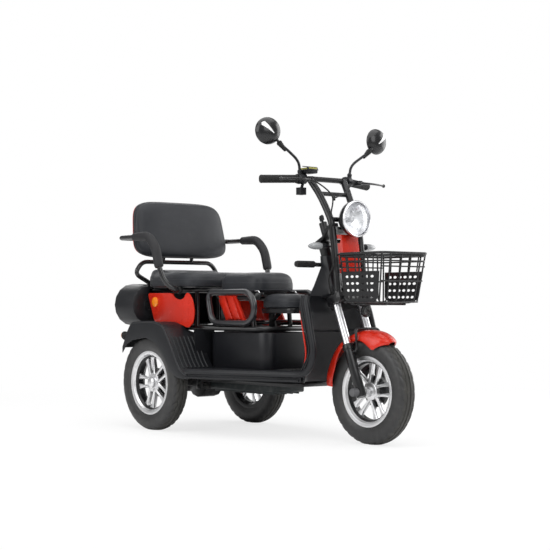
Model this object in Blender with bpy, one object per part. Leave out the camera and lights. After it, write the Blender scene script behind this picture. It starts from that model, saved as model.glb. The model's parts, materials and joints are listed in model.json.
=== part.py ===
"""Electric tricycle with a front basket, a saddle, a bench with backrest and a child seat."""
import math

import bmesh
import bpy
from mathutils import Vector

# Sizes in metres. +X is forward, +Y the rider's left, +Z up.
# The measuring origin is on the ground under the rear axle.
GAP = 0.0003
SHEET = 0.004

# Wheels
TYRE_R = 0.209
TYRE_W = 0.080
RIM_R = 0.1395
RIM_W = 0.062
BEAD_R = 0.127
WHEEL_SEGS = 18
SPOKE_PAIRS = 5
FRONT_AXLE_X = 1.079
REAR_WHEEL_Y = 0.278
REAR_OVERHANG = 0.300

# Steering and fork
RAKE = math.radians(21.5)
CROWN_Z = 0.550
FORK_OFFSET = 0.0465
LEG_Y = 0.065
LEG_R = 0.020
STANCHION_R = 0.0155
STEM_R = 0.015
HEAD_R = 0.024
HEAD_FROM = 0.059
HEAD_TO = 0.263
RISER_Y = 0.072
RISER_R = 0.014
BAR_R = 0.011
GRIP_R = 0.0165
AXLE_R = 0.008

# Frame
RAIL_R = 0.014
TUBE_R = 0.011
RAIL_Y = 0.115
UPPER_Y = 0.160
UPPER_Z = 0.447
SEAT_Z = 0.612
FLOOR_Z = 0.240
FLOOR_TOP = 0.280
PIVOT_X = 0.111
PIVOT_Z = 0.192
PIVOT_R = 0.007
LUG_Y = 0.125
SHOCK_X = 0.005
SHOCK_Z = 0.440
PIN_R = 0.005

# Body
BOX_Y = 0.150
BOX_TOP = 0.432
FENDER_IN = 0.2140
FENDER_OUT = 0.330
ROOF_Z = 0.475
COVER_Y = 0.2183
TAIL_Z = 0.549
TAIL_H = 0.095
RAIL_TOP_Z = 0.850
HANDRAIL_Y = 0.306
HANDRAIL_R = 0.0115
MIRROR_UP = 0.684

# Basket
BASKET_X = 1.017
BASKET_L = 0.244
BASKET_W = 0.124
BASKET_TOP = 0.745
BASKET_LOW = 0.555
WIRE_R = 0.0022

# Finishes: colour, roughness, metallic
RED = ((0.55, 0.01, 0.012), 0.25, 0.0)
BLACK_PAINT = ((0.012, 0.012, 0.013), 0.35, 0.0)
GREY_PAINT = ((0.10, 0.10, 0.105), 0.35, 0.0)
BLACK_PLASTIC = ((0.015, 0.015, 0.016), 0.5, 0.0)
RUBBER = ((0.012, 0.012, 0.012), 0.8, 0.0)
LEATHER = ((0.02, 0.018, 0.018), 0.5, 0.0)
CHROME = ((0.75, 0.75, 0.77), 0.12, 1.0)
ALLOY = ((0.6, 0.6, 0.62), 0.35, 1.0)
CLEAR = ((0.85, 0.87, 0.9), 0.08, 0.0)
AMBER = ((0.9, 0.25, 0.01), 0.2, 0.0)

for old in list(bpy.data.objects):
    bpy.data.objects.remove(old, do_unlink=True)

UP = Vector((-math.sin(RAKE), 0, math.cos(RAKE)))
AHEAD = Vector((math.cos(RAKE), 0, math.sin(RAKE)))
Y = Vector((0, 1, 0))
FRONT_AXLE = Vector((FRONT_AXLE_X, 0, TYRE_R))
AXLE_S = (TYRE_R - CROWN_Z - AHEAD.z * FORK_OFFSET) / UP.z
HEAD = FRONT_AXLE - AHEAD * FORK_OFFSET - UP * AXLE_S
SHIFT_X = -(FRONT_AXLE_X + TYRE_R - REAR_OVERHANG) / 2
SHIFT_Z = TYRE_R * (math.cos(math.pi / WHEEL_SEGS) - 1)
ORIGINS = {}


def steer(ahead, y, up):
    """Point given along and across the steering axis."""
    return HEAD + AHEAD * ahead + Y * y + UP * up


def head(dx, y, dz):
    """Point given from the lower end of the steering axis."""
    return HEAD + Vector((dx, y, dz))


def axes(direction):
    """Unit direction and two unit vectors across it."""
    d = Vector(direction).normalized()
    other = Vector((0, 0, 1)) if abs(d.z) < 0.9 else Vector((0, 1, 0))
    u = other.cross(d).normalized()
    return d, u, d.cross(u)


def skin(bm, rows, closed=False, caps=True):
    """Joins rows of equal length by quads and closes the two ends."""
    count = len(rows[0])
    pairs = list(zip(rows, rows[1:]))
    if closed:
        pairs.append((rows[-1], rows[0]))
    for low, high in pairs:
        for k in range(count):
            j = (k + 1) % count
            bm.faces.new((low[k], low[j], high[j], high[k]))
    if caps and not closed:
        bm.faces.new(rows[0][::-1])
        bm.faces.new(rows[-1])


def clear(radius, sides):
    """Bore radius whose flats clear a round shaft by the gap."""
    return (radius + GAP) / math.cos(math.pi / sides)


def flat_of(radius, sides=6):
    """Distance from a bar's axis to its flats."""
    return radius * math.cos(math.pi / sides)


def ring(bm, points):
    """Makes one row of vertices."""
    return [bm.verts.new(Vector(p)) for p in points]


def lathe(bm, profile, base, direction, segs, closed=False):
    """Turns a profile of (radius, along) about an axis."""
    d, u, v = axes(direction)
    rows = []
    for radius, along in profile:
        centre = Vector(base) + d * along
        if radius < 1e-7:
            rows.append([bm.verts.new(centre)])
            continue
        turn = [2 * math.pi * k / segs for k in range(segs)]
        rows.append([bm.verts.new(centre + radius * (u * math.cos(a) + v * math.sin(a))) for a in turn])
    pairs = list(zip(rows, rows[1:]))
    if closed:
        pairs.append((rows[-1], rows[0]))
    for low, high in pairs:
        for k in range(segs):
            j = (k + 1) % segs
            if len(low) == 1:
                bm.faces.new((low[0], high[k], high[j]))
            elif len(high) == 1:
                bm.faces.new((low[k], low[j], high[0]))
            else:
                bm.faces.new((low[k], low[j], high[j], high[k]))


def rod(bm, start, end, radius, segs=8):
    """Adds a straight round bar."""
    start = Vector(start)
    end = Vector(end)
    d, u, v = axes(end - start)
    rows = []
    for p in (start, end):
        turn = [2 * math.pi * k / segs for k in range(segs)]
        rows.append([bm.verts.new(p + radius * (u * math.cos(a) + v * math.sin(a))) for a in turn])
    skin(bm, rows)


def bend(points, cut, steps=2, closed=False):
    """Rounds the inner corners of a line of points."""
    pts = [Vector(p) for p in points]
    count = len(pts)
    out = []
    for i, p in enumerate(pts):
        if not closed and i in (0, count - 1):
            out.append(p)
            continue
        before = pts[i - 1] - p
        after = pts[(i + 1) % count] - p
        a = p + before.normalized() * min(cut, before.length * 0.48)
        b = p + after.normalized() * min(cut, after.length * 0.48)
        for k in range(steps + 1):
            t = k / steps
            out.append(a * (1 - t) ** 2 + p * 2 * t * (1 - t) + b * t * t)
    return out


def sweep(bm, points, radius, sides=8, closed=False, bore=None, flat=None):
    """Runs a round section along a line; bore makes it a sleeve."""
    pts = [Vector(p) for p in points]
    count = len(pts)
    side = None
    outer = []
    inner = []
    for i, p in enumerate(pts):
        back = p - pts[i - 1] if closed or i else pts[1] - p
        fore = pts[(i + 1) % count] - p if closed or i < count - 1 else back
        t = (back.normalized() + fore.normalized()).normalized()
        if side is None:
            side = Vector(flat) if flat else axes(t)[1]
        side = (side - t * side.dot(t)).normalized()
        other = t.cross(side)
        turn = [2 * math.pi * (k + 0.5) / sides for k in range(sides)]
        outer.append([bm.verts.new(p + radius * (side * math.cos(a) + other * math.sin(a))) for a in turn])
        if bore:
            inner.append([bm.verts.new(p + bore * (side * math.cos(a) + other * math.sin(a))) for a in turn])
    if bore:
        skin(bm, outer + inner[::-1], closed=True)
    else:
        skin(bm, outer, closed=closed)


def block(bm, low, high):
    """Adds a box between two corners."""
    x0, y0, z0 = low
    x1, y1, z1 = high
    rows = []
    for z in (z0, z1):
        rows.append(ring(bm, [(x0, y0, z), (x1, y0, z), (x1, y1, z), (x0, y1, z)]))
    skin(bm, rows)


def slab_y(bm, outline, y0, y1):
    """Adds a plate with an outline of (x, z) between two y values."""
    skin(bm, [ring(bm, [(x, y, z) for x, z in outline]) for y in (y0, y1)])


def slab_z(bm, outline, z0, z1):
    """Adds a plate with an outline of (x, y) between two heights."""
    skin(bm, [ring(bm, [(x, y, z) for x, y in outline]) for z in (z0, z1)])


def round_rect(x0, x1, y0, y1, radius, steps=3):
    """Outline of a rectangle with round corners."""
    out = []
    corners = ((x1, y1, 0), (x0, y1, 90), (x0, y0, 180), (x1, y0, 270))
    for x, y, start in corners:
        cx = x - radius if x == x1 else x + radius
        cy = y - radius if y == y1 else y + radius
        for k in range(steps + 1):
            a = math.radians(start + 90 * k / steps)
            out.append((cx + radius * math.cos(a), cy + radius * math.sin(a)))
    return out


def bevelled(low, high, width, segs=1):
    """A box with all its edges bevelled."""
    bm = bmesh.new()
    block(bm, low, high)
    bmesh.ops.bevel(bm, geom=bm.edges[:], offset=width, segments=segs, profile=0.5, affect="EDGES")
    return bm


def combine(base, tool, operation="UNION"):
    """Gives the exact union or difference of two meshes."""
    pair = []
    for bm in (base, tool):
        bmesh.ops.recalc_face_normals(bm, faces=bm.faces)
        mesh = bpy.data.meshes.new("operand")
        bm.to_mesh(mesh)
        bm.free()
        obj = bpy.data.objects.new("operand", mesh)
        bpy.context.scene.collection.objects.link(obj)
        pair.append(obj)
    step = pair[0].modifiers.new("step", "BOOLEAN")
    step.operation = operation
    step.object = pair[1]
    step.solver = "EXACT"
    step.use_self = True
    graph = bpy.context.evaluated_depsgraph_get()
    mesh = bpy.data.meshes.new_from_object(pair[0].evaluated_get(graph))
    out = bmesh.new()
    out.from_mesh(mesh)
    bmesh.ops.remove_doubles(out, verts=out.verts, dist=0.00002)
    bmesh.ops.dissolve_limit(out, angle_limit=math.radians(0.3), verts=out.verts, edges=out.edges)
    for obj in pair:
        bpy.data.objects.remove(obj, do_unlink=True)
    return out


def joint(name, at, parent):
    """An empty on a joint's axis; pieces below it turn or slide with it."""
    empty = bpy.data.objects.new(name, None)
    bpy.context.scene.collection.objects.link(empty)
    ORIGINS[name] = Vector(at)
    if parent:
        empty.parent = parent
        empty.location = Vector(at) - ORIGINS[parent.name]
    else:
        empty.location = (SHIFT_X, 0, SHIFT_Z)
    return empty


def node(name, bm, finish, parent, angle=35):
    """Makes one named piece with its own material."""
    bmesh.ops.recalc_face_normals(bm, faces=bm.faces)
    bmesh.ops.translate(bm, verts=bm.verts, vec=-ORIGINS[parent.name])
    mesh = bpy.data.meshes.new(name)
    bm.to_mesh(mesh)
    bm.free()
    obj = bpy.data.objects.new(name, mesh)
    bpy.context.scene.collection.objects.link(obj)
    obj.parent = parent
    paint = bpy.data.materials.new(name)
    paint.use_nodes = True
    shader = paint.node_tree.nodes["Principled BSDF"]
    colour, rough, metal = finish
    shader.inputs["Base Color"].default_value = (*colour, 1)
    shader.inputs["Roughness"].default_value = rough
    shader.inputs["Metallic"].default_value = metal
    mesh.materials.append(paint)
    mesh.shade_smooth()
    mesh.set_sharp_from_angle(angle=math.radians(angle))
    return obj


def pair(name, bm, finish, parent, angle=35):
    """Makes a left piece and its mirror image on the right."""
    other = bm.copy()
    for v in other.verts:
        v.co.y = -v.co.y
    bmesh.ops.reverse_faces(other, faces=other.faces[:])
    other.normal_update()
    node(name + "_left", bm, finish, parent, angle)
    node(name + "_right", other, finish, parent, angle)


ROOT = joint("tricycle", (0, 0, 0), None)
STEERING = joint("steering", HEAD, ROOT)
FORK = joint("fork_slide", steer(FORK_OFFSET, 0, AXLE_S), STEERING)
FRONT_WHEEL = joint("front_wheel", FRONT_AXLE, FORK)
SWING = joint("rear_swing", (PIVOT_X, 0, PIVOT_Z), ROOT)
WHEEL_RIGHT = joint("rear_wheel_right", (0, -REAR_WHEEL_Y, TYRE_R), SWING)
WHEEL_LEFT = joint("rear_wheel_left", (0, REAR_WHEEL_Y, TYRE_R), SWING)


# Frame: head tube, down tube, a low U of rails, two upper loops and the swing arm lugs
bm = bmesh.new()
head_l = HEAD_TO - HEAD_FROM
bore = STEM_R + GAP
cup = [(bore, 0), (HEAD_R + 0.004, 0), (HEAD_R + 0.004, 0.010), (HEAD_R, 0.014)]
cup += [(HEAD_R, head_l - 0.014), (HEAD_R + 0.004, head_l - 0.010), (HEAD_R + 0.004, head_l), (bore, head_l)]
lathe(bm, cup, steer(0, 0, HEAD_FROM), UP, 16, closed=True)
DOWN_TUBE = [steer(-0.0190, 0, 0.128)]
DOWN_TUBE += bend([steer(-0.030, 0, 0.128), head(-0.122, 0, 0.045), (0.762, 0, 0.34),
                   (0.737, 0, FLOOR_Z - RAIL_R)], 0.06)
tool = bmesh.new()
sweep(tool, DOWN_TUBE, 0.016, 6, flat=(0, 1, 0))
low_z = FLOOR_Z - GAP - RAIL_R
rails = [(0.085, -RAIL_Y, UPPER_Z), (0.085, -RAIL_Y, low_z), (0.740, -RAIL_Y, low_z),
         (0.740, RAIL_Y, low_z), (0.085, RAIL_Y, low_z), (0.085, RAIL_Y, UPPER_Z)]
sweep(tool, bend(rails, 0.05), RAIL_R, sides=6)
for x0, x1, z in ((-0.200, 0.585, UPPER_Z), (-0.215, 0.205, SEAT_Z)):
    loop = [(x0, -UPPER_Y, z), (x1, -UPPER_Y, z), (x1, UPPER_Y, z), (x0, UPPER_Y, z)]
    sweep(tool, bend(loop, 0.04, 1, closed=True), TUBE_R, 6, closed=True, flat=(0, 0, 1))
inner_y = FENDER_IN - GAP
rod(tool, (0.085, -inner_y, UPPER_Z), (0.085, inner_y, UPPER_Z), TUBE_R * 0.94, 6)
rod(tool, (0.470, -UPPER_Y, UPPER_Z), (0.470, UPPER_Y, UPPER_Z), TUBE_R * 0.94, 6)
stub_y = COVER_Y - 0.002
rod(tool, (0.110, -stub_y, SEAT_Z), (0.110, stub_y, SEAT_Z), TUBE_R * 0.94, 8)
for s in (-1, 1):
    rod(tool, (-0.120, s * UPPER_Y, UPPER_Z), (-0.120, s * UPPER_Y, SEAT_Z), TUBE_R * 0.9, 6)
    rod(tool, (0.150, s * UPPER_Y, UPPER_Z), (0.150, s * UPPER_Y, SEAT_Z), TUBE_R * 0.9, 6)
    bar = [(0.200, s * 0.100, SEAT_Z), (0.236, s * 0.100, 0.575), (0.456, s * 0.100, 0.575),
           (0.470, s * 0.100, UPPER_Z)]
    sweep(tool, bend(bar, 0.03), TUBE_R * 0.92, 6)
    block(tool, (0.452, min(s * 0.096, s * 0.104), 0.568), (0.512, max(s * 0.096, s * 0.104), 0.5990))
    fork_plate = [(0.085, UPPER_Z + 0.006), (SHOCK_X - 0.010, SHOCK_Z + 0.010),
                  (SHOCK_X - 0.010, SHOCK_Z - 0.008),
                  (SHOCK_X + 0.012, SHOCK_Z - 0.008), (0.085, UPPER_Z - 0.008)]
    slab_y(tool, fork_plate, min(s * 0.0140, s * 0.0190), max(s * 0.0140, s * 0.0190))
    rod(tool, (-0.215, s * 0.100, SEAT_Z), (0.014 + GAP - REAR_OVERHANG, s * 0.100, SEAT_Z), 0.009, 6)
    lug = [(PIVOT_X - 0.016, PIVOT_Z - 0.012), (PIVOT_X + 0.016, PIVOT_Z - 0.012), (PIVOT_X + 0.026, 0.232),
           (PIVOT_X - 0.004, 0.240)]
    slab_y(tool, lug, min(s * LUG_Y, s * (LUG_Y - 0.010)), max(s * LUG_Y, s * (LUG_Y - 0.010)))
rod(tool, (PIVOT_X, -LUG_Y - 0.006, PIVOT_Z), (PIVOT_X, LUG_Y + 0.006, PIVOT_Z), PIVOT_R, 8)
rod(tool, (SHOCK_X, -0.022, SHOCK_Z), (SHOCK_X, 0.022, SHOCK_Z), PIN_R, 10)
bm = combine(bm, tool)
node("chassis_frame", bm, BLACK_PAINT, ROOT)

# Floor: a tray whose cross ribs lie on the rails
FLOOR_EDGE = [(0.790, 0.0), (0.790, 0.100), (0.815, 0.140), (0.850, 0.160), (0.856, 0.176)]
side = [(0.856, 0.176), (0.476, 0.296), (0.310, FENDER_OUT), (0.310, BOX_Y), (0.200, BOX_Y)]
half = FLOOR_EDGE[1:] + side[1:]
outline = half + [(x, -y) for x, y in half[::-1]]
bm = bmesh.new()
slab_z(bm, outline, FLOOR_Z, FLOOR_TOP)
tool = bmesh.new()
for x0, x1, w0, w1 in ((0.208, 0.290, 0.142, 0.142), (0.322, 0.480, 0.318, 0.286),
                       (0.500, 0.640, 0.280, 0.236),
                       (0.660, 0.782, 0.230, 0.190)):
    slab_z(tool, [(x0, -w0), (x1, -w1), (x1, w1), (x0, w0)], FLOOR_Z - 0.01, FLOOR_TOP - 0.005)
bm = combine(bm, tool, "DIFFERENCE")
mat = bmesh.new()
block(mat, (0.622, -0.112, FLOOR_TOP - 0.002), (0.722, 0.112, FLOOR_TOP + 0.0015))
bm = combine(bm, mat)
tool = bmesh.new()
sweep(tool, DOWN_TUBE, 0.016 + GAP * 1.3, 6, flat=(0, 1, 0))
bm = combine(bm, tool, "DIFFERENCE")
node("floor_board", bm, BLACK_PLASTIC, ROOT)

# Leg shield: level sections from the floor up; half width, then front and back x for five stations
LEVELS = ((0.240, 0.170, (0.804, 0.806, 0.829, 0.863, 0.870), 0.0135),
          (FLOOR_TOP + GAP, 0.172, (0.806, 0.808, 0.833, 0.872, 0.884), 0.0135),
          (0.363, 0.172, (0.818, 0.824, 0.850, 0.900, 0.938), 0.014),
          (0.437, 0.172, (0.828, 0.834, 0.850, 0.885, 0.914), 0.016),
          (0.447, 0.171, (0.850, 0.850, 0.856, 0.884, 0.909), 0.020),
          (0.500, 0.170, (0.854, 0.854, 0.858, 0.878, 0.896), 0.022),
          (0.530, 0.169, (0.850, 0.850, 0.854, 0.870, 0.886), 0.022),
          (0.560, 0.165, (0.836, 0.838, 0.846, 0.862, 0.874), 0.018),
          (0.584, 0.150, (0.830, 0.832, 0.840, 0.858, 0.870), 0.014))
bm = bmesh.new()
rows = []
for z, wide, fronts, thick in LEVELS:
    spots = [0, 0.58 * wide, 0.80 * wide, 0.93 * wide, wide]
    back = [x - thick for x in fronts[:4]] + [fronts[4] - 2.2 * thick]
    if z < 0.30:
        back = [FLOOR_EDGE[0][0] + GAP * 1.6] * 2 + [FLOOR_EDGE[2][0] + 0.001, FLOOR_EDGE[4][0] + GAP, 0.8575]
        spots = [0, 0.095, 0.138, 0.162, wide]
    line = [(x, y) for x, y in zip(fronts, spots)]
    rear = [(x, y) for x, y in zip(back, spots)]
    loop = [(x, -y) for x, y in line[:0:-1]] + line + rear[::-1] + [(x, -y) for x, y in rear[1:]]
    rows.append(ring(bm, [(x, y, z) for x, y in loop]))
skin(bm, rows)
cover = bmesh.new()
rows = []
for z, x0, x1, w in ((0.574, 0.742, 0.872, 0.046), (0.592, 0.746, 0.905, 0.046), (0.622, 0.764, 0.895, 0.041),
                     (0.700, 0.806, 0.866, 0.037), (0.745, 0.800, 0.850, 0.034)):
    rows.append(ring(cover, [(x, y, z) for x, y in round_rect(x0, x1, -w, w, w * 0.62, 2)]))
skin(cover, rows)
bm = combine(bm, cover)
tool = bmesh.new()
lathe(tool, [(0, -0.05), (HEAD_R + 0.004 + GAP, -0.05), (HEAD_R + 0.004 + GAP, 0.0145),
             (HEAD_R + GAP, 0.0146),
             (HEAD_R + GAP, 0.300), (0, 0.300)], steer(0, 0, HEAD_FROM), UP, 16)
wide_path = [DOWN_TUBE[0] + AHEAD * 0.01] + DOWN_TUBE[1:]
sweep(tool, wide_path, 0.016 + GAP * 1.3, 6, flat=(0, 1, 0))
bm = combine(bm, tool, "DIFFERENCE")
node("leg_shield", bm, BLACK_PLASTIC, ROOT, 30)

# Seat box: open at the top, with round corners
bm = bmesh.new()
shell = round_rect(0.210, 0.612, -BOX_Y, BOX_Y, 0.055, 4)
inside = round_rect(0.210 + SHEET, 0.612 - SHEET, -BOX_Y + SHEET, BOX_Y - SHEET, 0.051, 4)
rows = [ring(bm, [(x, y, FLOOR_TOP + GAP) for x, y in shell]), ring(bm, [(x, y, BOX_TOP) for x, y in shell]),
        ring(bm, [(x, y, BOX_TOP) for x, y in inside]),
        ring(bm, [(x, y, FLOOR_TOP + SHEET) for x, y in inside])]
skin(bm, rows)
node("seat_box", bm, BLACK_PLASTIC, ROOT)

# Battery: a case with a carrying strap
low_b = FLOOR_TOP + SHEET + GAP
bm = bevelled((0.245, -0.115, low_b), (0.555, 0.115, 0.405), 0.008)
strap = bmesh.new()
sweep(strap, bend([(0.33, 0, 0.400), (0.34, 0, 0.421), (0.46, 0, 0.421), (0.47, 0, 0.400)], 0.01, 2), 0.006,
      6)
bm = combine(bm, strap)
node("battery_pack", bm, BLACK_PLASTIC, ROOT)

# Motor controller: a finned case below the floor
bm = bevelled((0.140, -0.085, 0.180), (0.582, 0.085, FLOOR_Z - GAP), 0.006)
tool = bmesh.new()
for k in range(5):
    y = -0.068 + 0.034 * k
    block(tool, (0.160, y - 0.0025, 0.172), (0.562, y + 0.0025, 0.183))
bm = combine(bm, tool)
node("motor_controller", bm, BLACK_PAINT, ROOT)

# Side covers beside the bench
cover_top = SEAT_Z - HANDRAIL_R - GAP
PANEL = [(-0.137, cover_top), (-0.083, ROOF_Z - 0.0038 + GAP), (0.0, ROOF_Z + GAP),
         (0.074, ROOF_Z - 0.001 + GAP),
         (0.118, ROOF_Z - 0.013 + GAP), (0.180, 0.446), (0.215, 0.512), (0.168, cover_top),
         (0.152, cover_top), (0.140, cover_top - 0.022), (0.110, cover_top - 0.031),
         (0.072, cover_top - 0.022),
         (0.046, cover_top)]
bm = bmesh.new()
slab_y(bm, PANEL, COVER_Y, COVER_Y + SHEET)
lip = bmesh.new()
slab_y(lip, [(-0.135, cover_top), (-0.133, cover_top - 0.006), (0.044, cover_top - 0.006),
             (0.040, cover_top)],
       COVER_Y - 0.020, COVER_Y + 0.002)
bm = combine(bm, lip)
pair("side_cover", bm, RED, ROOT)

# Skirt below the saddle: a tray with a ribbed panel each side
bm = bmesh.new()
inner = 0.100 + flat_of(TUBE_R * 0.92) + GAP
block(bm, (0.304, -inner - 0.002, 0.482), (0.402, inner + 0.002, 0.486))
tool = bmesh.new()
ribs = [(0.247, 0.563), (0.247, 0.587), (0.359, 0.587), (0.421, 0.483), (0.297, 0.478)]
for s in (-1, 1):
    slab_y(tool, ribs, min(s * inner, s * (inner + 0.012)), max(s * inner, s * (inner + 0.012)))
    for k in range(5):
        z = 0.492 + 0.015 * k
        lift = (z - 0.478) / (0.587 - 0.478)
        x0 = 0.306 - 0.048 * lift
        x1 = 0.406 - 0.058 * lift
        y0 = min(s * (inner + 0.010), s * (inner + 0.019))
        block(tool, (x0, y0, z), (x1, y0 + 0.009, z + 0.007))
bm = combine(bm, tool)
node("saddle_skirt", bm, RED, ROOT)

# Rear fenders: channel sections over each wheel; roof z, outer edge z, inner edge z, inner y
STATIONS = ((-0.180, 0.362, 0.336, 0.336, FENDER_IN), (-0.148, 0.420, 0.372, 0.385, FENDER_IN),
            (-0.108, ROOF_Z - 0.005, 0.392, 0.430, FENDER_IN), (0.000, ROOF_Z, 0.406, 0.430, FENDER_IN),
            (0.074, ROOF_Z - 0.001, 0.384, 0.430, FENDER_IN),
            (0.118, ROOF_Z - 0.013, 0.351, 0.420, FENDER_IN),
            (0.136, 0.445, 0.330, 0.400, FENDER_IN), (0.157, 0.420, 0.303, 0.375, BOX_Y + GAP),
            (0.186, 0.376, 0.268, 0.340, BOX_Y + GAP), (0.230, 0.305, 0.242, 0.275, BOX_Y + GAP),
            (0.259, 0.270, 0.237, 0.245, BOX_Y + GAP), (0.3097, 0.252, 0.237, 0.237, BOX_Y + GAP))
bm = bmesh.new()
rows = []
for x, roof, out_z, in_z, y_in in STATIONS:
    t = SHEET
    low_out = min(out_z, roof - t - 0.002)
    low_in = min(in_z, roof - t - 0.002)
    rows.append(ring(bm, [(x, FENDER_OUT, low_out), (x, FENDER_OUT, roof), (x, y_in, roof), (x, y_in, low_in),
                          (x, y_in + t, low_in), (x, y_in + t, roof - t), (x, FENDER_OUT - t, roof - t),
                          (x, FENDER_OUT - t, low_out)]))
skin(bm, rows)
pair("rear_fender", bm, BLACK_PLASTIC, ROOT)


def stadium(x, inset, segs=8):
    """Outline of the tail panel at one x, drawn in by an inset."""
    r = TAIL_H - inset
    half = 0.304 - TAIL_H
    out = []
    for k in range(segs + 1):
        a = math.radians(-90 + 180 * k / segs)
        out.append((x, half + r * math.cos(a), TAIL_Z + r * math.sin(a)))
    for k in range(segs + 1):
        a = math.radians(90 + 180 * k / segs)
        out.append((x, -half + r * math.cos(a), TAIL_Z + r * math.sin(a)))
    return out


# Tail panel: a hollow shell that closes the body at the back
bm = bmesh.new()
back_x = 0.010 - REAR_OVERHANG
rows = [ring(bm, stadium(back_x + SHEET, 0.010)), ring(bm, stadium(-0.150, 0.014)),
        ring(bm, stadium(-0.150, 0.010)), ring(bm, stadium(back_x + 0.008, 0.0)),
        ring(bm, stadium(back_x, 0.008))]
skin(bm, rows)
tool = bmesh.new()
block(tool, (back_x + 0.030, -0.2045, 0.400), (-0.100, 0.2045, 0.700))
bm = combine(bm, tool, "DIFFERENCE")
node("tail_panel", bm, BLACK_PLASTIC, ROOT)

# Tail lamps
bm = bmesh.new()
lathe(bm, [(0, 0), (0.034, 0), (0.034, 0.004), (0.026, 0.010 - GAP), (0, 0.010 - GAP)],
      (back_x - GAP, 0.200, 0.548), (-1, 0, 0), 16)
pair("tail_lamp", bm, ((0.6, 0.01, 0.01), 0.15, 0.0), ROOT)

# Rear turn signals: a stalk on the fender's rear slope and a rounded lamp
slope = Vector((STATIONS[1][0] - STATIONS[0][0], 0, STATIONS[1][1] - STATIONS[0][1])).normalized()
out_dir = Vector((-slope.z, 0, slope.x))
foot = Vector((-0.164, 0.300, 0.391)) + out_dir * GAP
bm = bmesh.new()
lathe(bm, [(0, 0), (0.009, 0), (0.009, 0.004), (0.006, 0.007), (0.006, 0.020), (0.016, 0.026), (0.019, 0.040),
              (0.013, 0.058), (0, 0.062)], foot, out_dir, 8)
pair("rear_turn_signal", bm, AMBER, ROOT)

# Guard rails: a closed D on each side of the saddle, on feet over the upper rails
bm = bmesh.new()
rod(bm, (0.283, -0.170, 0.4715), (0.283, 0.170, 0.4715), 0.0105, 6)
d_loop = [(0.238, 0.602), (0.520, 0.602), (0.556, 0.547), (0.520, 0.471), (0.270, 0.471)]
tool = bmesh.new()
foot_z = UPPER_Z + flat_of(TUBE_R) + GAP
for s in (-1, 1):
    line = bend([(x, s * 0.170, z) for x, z in d_loop], 0.035, 1, closed=True)
    sweep(tool, line, 0.0125, 6, closed=True, flat=(0, 1, 0))
    for x in (0.315, 0.480):
        block(tool, (x, s * 0.165 - 0.013, foot_z), (x + 0.020, s * 0.165 + 0.013, 0.470))
bm = combine(bm, tool)
node("guard_rails", bm, GREY_PAINT, ROOT)


def cushion(bm, place, plan, height, nu, nv, drop=0.6, tuck=0.93):
    """A padded form: a crowned top on drawn-in sides and a flat base.

    place maps (a, b, h) to space, plan gives (a, b) for u, v in -1..1, height gives h.
    """
    us = [math.sin(math.pi / 2 * (2 * i / nu - 1)) * 0.5 + (2 * i / nu - 1) * 0.5 for i in range(nu + 1)]
    vs = [math.sin(math.pi / 2 * (2 * j / nv - 1)) * 0.5 + (2 * j / nv - 1) * 0.5 for j in range(nv + 1)]
    top = []
    for u in us:
        top.append([bm.verts.new(place(*plan(u, v), height(u, v))) for v in vs])
    for i in range(nu):
        for j in range(nv):
            bm.faces.new((top[i][j], top[i + 1][j], top[i + 1][j + 1], top[i][j + 1]))
    edge = [(i, 0) for i in range(nu + 1)] + [(nu, j) for j in range(1, nv + 1)]
    edge += [(i, nv) for i in range(nu - 1, -1, -1)] + [(0, j) for j in range(nv - 1, 0, -1)]
    rows = [[top[i][j] for i, j in edge]]
    centre = plan(0, 0)
    for part, grow in ((1 - drop, 1.015), (0.25, 1.01), (0.0, tuck)):
        row = []
        for i, j in edge:
            a, b = plan(us[i], vs[j])
            a = centre[0] + (a - centre[0]) * grow
            b = centre[1] + (b - centre[1]) * grow
            row.append(bm.verts.new(place(a, b, height(us[i], vs[j]) * part)))
        rows.append(row)
    skin(bm, rows, caps=False)
    bm.faces.new(rows[-1])


def rounded(u, v, power=3.2):
    """Maps a square onto a square with round corners."""
    n = (abs(u) ** power + abs(v) ** power) ** (1 / power)
    m = max(abs(u), abs(v))
    if n < 1e-6:
        return 0.0, 0.0
    return u * m / n, v * m / n


def crown(u, v, edge=0.62, power=3.0):
    """Height factor that falls away to the rim."""
    return edge + (1 - edge) * (1 - abs(u) ** power) * (1 - abs(v) ** power)


# Bench cushion with a raised back lip and two cross channels
BENCH_BASE = SEAT_Z + TUBE_R + GAP


def bench_plan(u, v):
    a, b = rounded(u, v, 5.0)
    half = 0.226 + 0.014 * u
    return 0.010 + a * 0.204, b * half


def bench_height(u, v):
    lip = 0.040 * max(0.0, (-u - 0.55) / 0.45) ** 1.5
    dip = sum(0.005 * math.exp(-((u - c) / 0.07) ** 2) for c in (-0.45, 0.15))
    return (0.070 + lip) * crown(u, v, 0.72, 4.0) - dip * (1 - abs(v) ** 4)


bm = bmesh.new()
cushion(bm, lambda a, b, h: (a, b, BENCH_BASE + h), bench_plan, bench_height, 10, 6)
node("bench_cushion", bm, LEATHER, ROOT, 60)

# Backrest: padded front in a thin back shell, leaning back a little
BACK_X = -0.211
BACK_Z = 0.8925
BACK_H = 0.1275
LEAN = 0.18


def back_place(a, b, h):
    return (BACK_X - LEAN * (b - BACK_Z) + h, a, b)


def back_plan(u, v):
    a, b = rounded(u, v, 5.0)
    half = 0.2505 - 0.0133 * b
    return a * half, BACK_Z + BACK_H * b


def back_height(u, v):
    dip = sum(0.006 * math.exp(-((v - c) / 0.09) ** 2) for c in (-0.35, 0.35))
    return 0.046 * crown(u, v, 0.55) - dip * (1 - abs(u) ** 4)


bm = bmesh.new()
cushion(bm, back_place, back_plan, back_height, 6, 10)
node("backrest_cushion", bm, LEATHER, ROOT, 60)

bm = bmesh.new()
cushion(bm, lambda a, b, h: back_place(a, b, -GAP - h), back_plan, lambda u, v: 0.014 * crown(u, v, 0.35),
        6, 4, tuck=0.985)
node("backrest_shell", bm, RED, ROOT, 60)

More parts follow.
